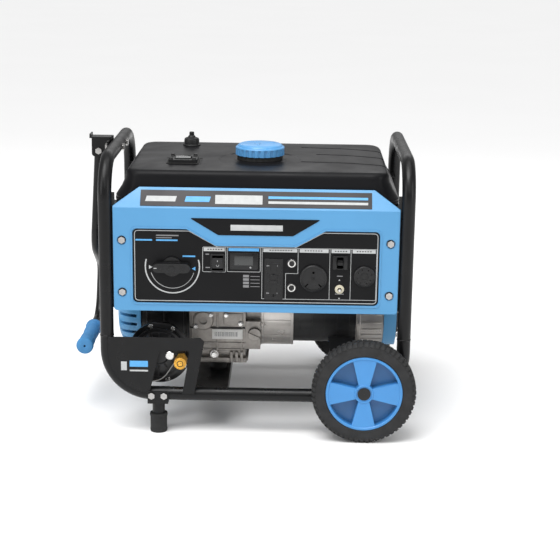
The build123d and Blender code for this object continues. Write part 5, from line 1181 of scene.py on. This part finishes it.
# end cap boss and bolts
ehi = highest("alternator_end_cap")
add_lathe([(-1, 18), (-1, 30), (0.6, 29), (1.0, 20)], (ehi[0], 0, crank_z), 0, 56)
piece("end_cap_boss", BLUE_PAINT)
end_bolt_r = ehi[2] - crank_z - 12
for i in range(4):
    t = math.tau * i / 4 + math.pi / 4
    add_hex((ehi[0], end_bolt_r * math.cos(t), crank_z + end_bolt_r * math.sin(t)), 0, 1, 8, 4, 6)
piece("end_cap_bolts", ZINC)

# ------------------------------------------------------------------ gas connection

reg = centre("regulator")
reg_face = -185  # front of the regulator's round cover
rcx, rcz = reg[0], reg[2]
add_lathe([(0, 20), (0, 50), (-2, 49), (-3, 44), (-3, 22)], (rcx, reg_face, rcz), 1, 72)
for i in range(12):
    add_block((24, -5.5, -1.2), (47, 0, 1.2), 0.8, turned((rcx, reg_face, rcz), math.tau * i / 12, "Y"))
piece("regulator_ribs", BLACK_ENAMEL)
flange_front = reg_face + 52 / 3 - 8  # 8 thick, its back a third of the body's 52 behind the face
for i in range(8):
    t = math.tau * i / 8 + 0.3
    add_hex((rcx + 60.5 * math.cos(t), flange_front, rcz + 60.5 * math.sin(t)), 1, -1, 7, 4, 5)
piece("regulator_screws", ZINC)
inlet_x, _, inlet_z = front_of("gas_inlet")
add_lathe([(0, 0.5), (0, 9.5), (-5, 9.2), (-6, 8), (-6, 0.5)], (inlet_x - 24, reg_face - 4, inlet_z + 8), 1,
    40)
piece("regulator_plug", ZINC)
cap_front = lowest("gas_cap")[1]
for i in range(24):
    add_block((11.9, 0, -0.8), (13.1, 19, 0.8), 0.3, turned((inlet_x, cap_front + 1.5, inlet_z),
        math.tau * i / 24, "Y"))
add_lathe([(0, 0.5), (0, 10.5), (-1.0, 9.5), (-1.0, 0.5)], (inlet_x, cap_front, inlet_z), 1, 40)
piece("gas_cap_knurl", BRASS, "inlet_cap")
# a dark ring on the brass cap's face: painted shade of its recess
add_lathe([(0, 5.2), (0, 7.0), (-0.2, 7.0), (-0.2, 5.2)], (inlet_x, cap_front - 1.0, inlet_z), 1, 40)
piece("gas_cap_recess_shade_ring", DARK_PRINT_AND_RECESS_SHADE, "inlet_cap")

# plain pale bars where the plate is printed
gas_front = lowest("gas_panel")[1]
add_block((MID - 260, gas_front - 0.12, 141 + LIFT), (MID - 222, gas_front, 154 + LIFT))
piece("gas_plate_blue_bar", PRINT_BLUE)
add_block((MID - 260, gas_front - 0.12, 131 + LIFT), (MID - 222, gas_front, 134.5 + LIFT))
add_block((MID - 278, gas_front - 0.12, 133 + LIFT), (MID - 266, gas_front, 152 + LIFT))
piece("gas_plate_pale_bars", PRINT_PALE)

# ------------------------------------------------------------------ frame dress

for hoop in ("left_hoop", "right_hoop"):
    x = centre(hoop)[0]
    lo, hi = box(hoop)
    for y in (lo[1] + 14, hi[1] - 14):
        add_lathe([(-2.2, 13.6), (-1.2, 14.5), (0.2, 14.9), (1.4, 14.4), (2.3, 13.6)], (x, y, lo[2]), 2, 48)
piece("hoop_weld_beads", BLACK_POWDER)
for y in (lowest("rubber_feet")[1] + 17.5, highest("rubber_feet")[1] - 17.5):
    x = centre("rubber_feet")[0]
    add_lathe([(34, 13.2), (34, 18.4), (37, 18.8), (40.4, 18.2), (41, 13.2)], (x, y, 0), 2, 48)
    add_lathe([(0.4, 13.5), (1.0, 17.7), (5, 18.2), (7, 17.5), (7, 13.5)], (x, y, 0), 2, 48)
piece("foot_beads", RUBBER)

# ------------------------------------------------------------------ floor

floor_mesh = bpy.data.meshes.new("floor")
floor_build = bmesh.new()
bmesh.ops.create_grid(floor_build, x_segments=8, y_segments=8, size=60.0)
floor_build.to_mesh(floor_mesh)
floor_build.free()
floor_mesh.materials.append(FLOOR.material)
floor = bpy.data.objects.new("floor", floor_mesh)
show(floor)
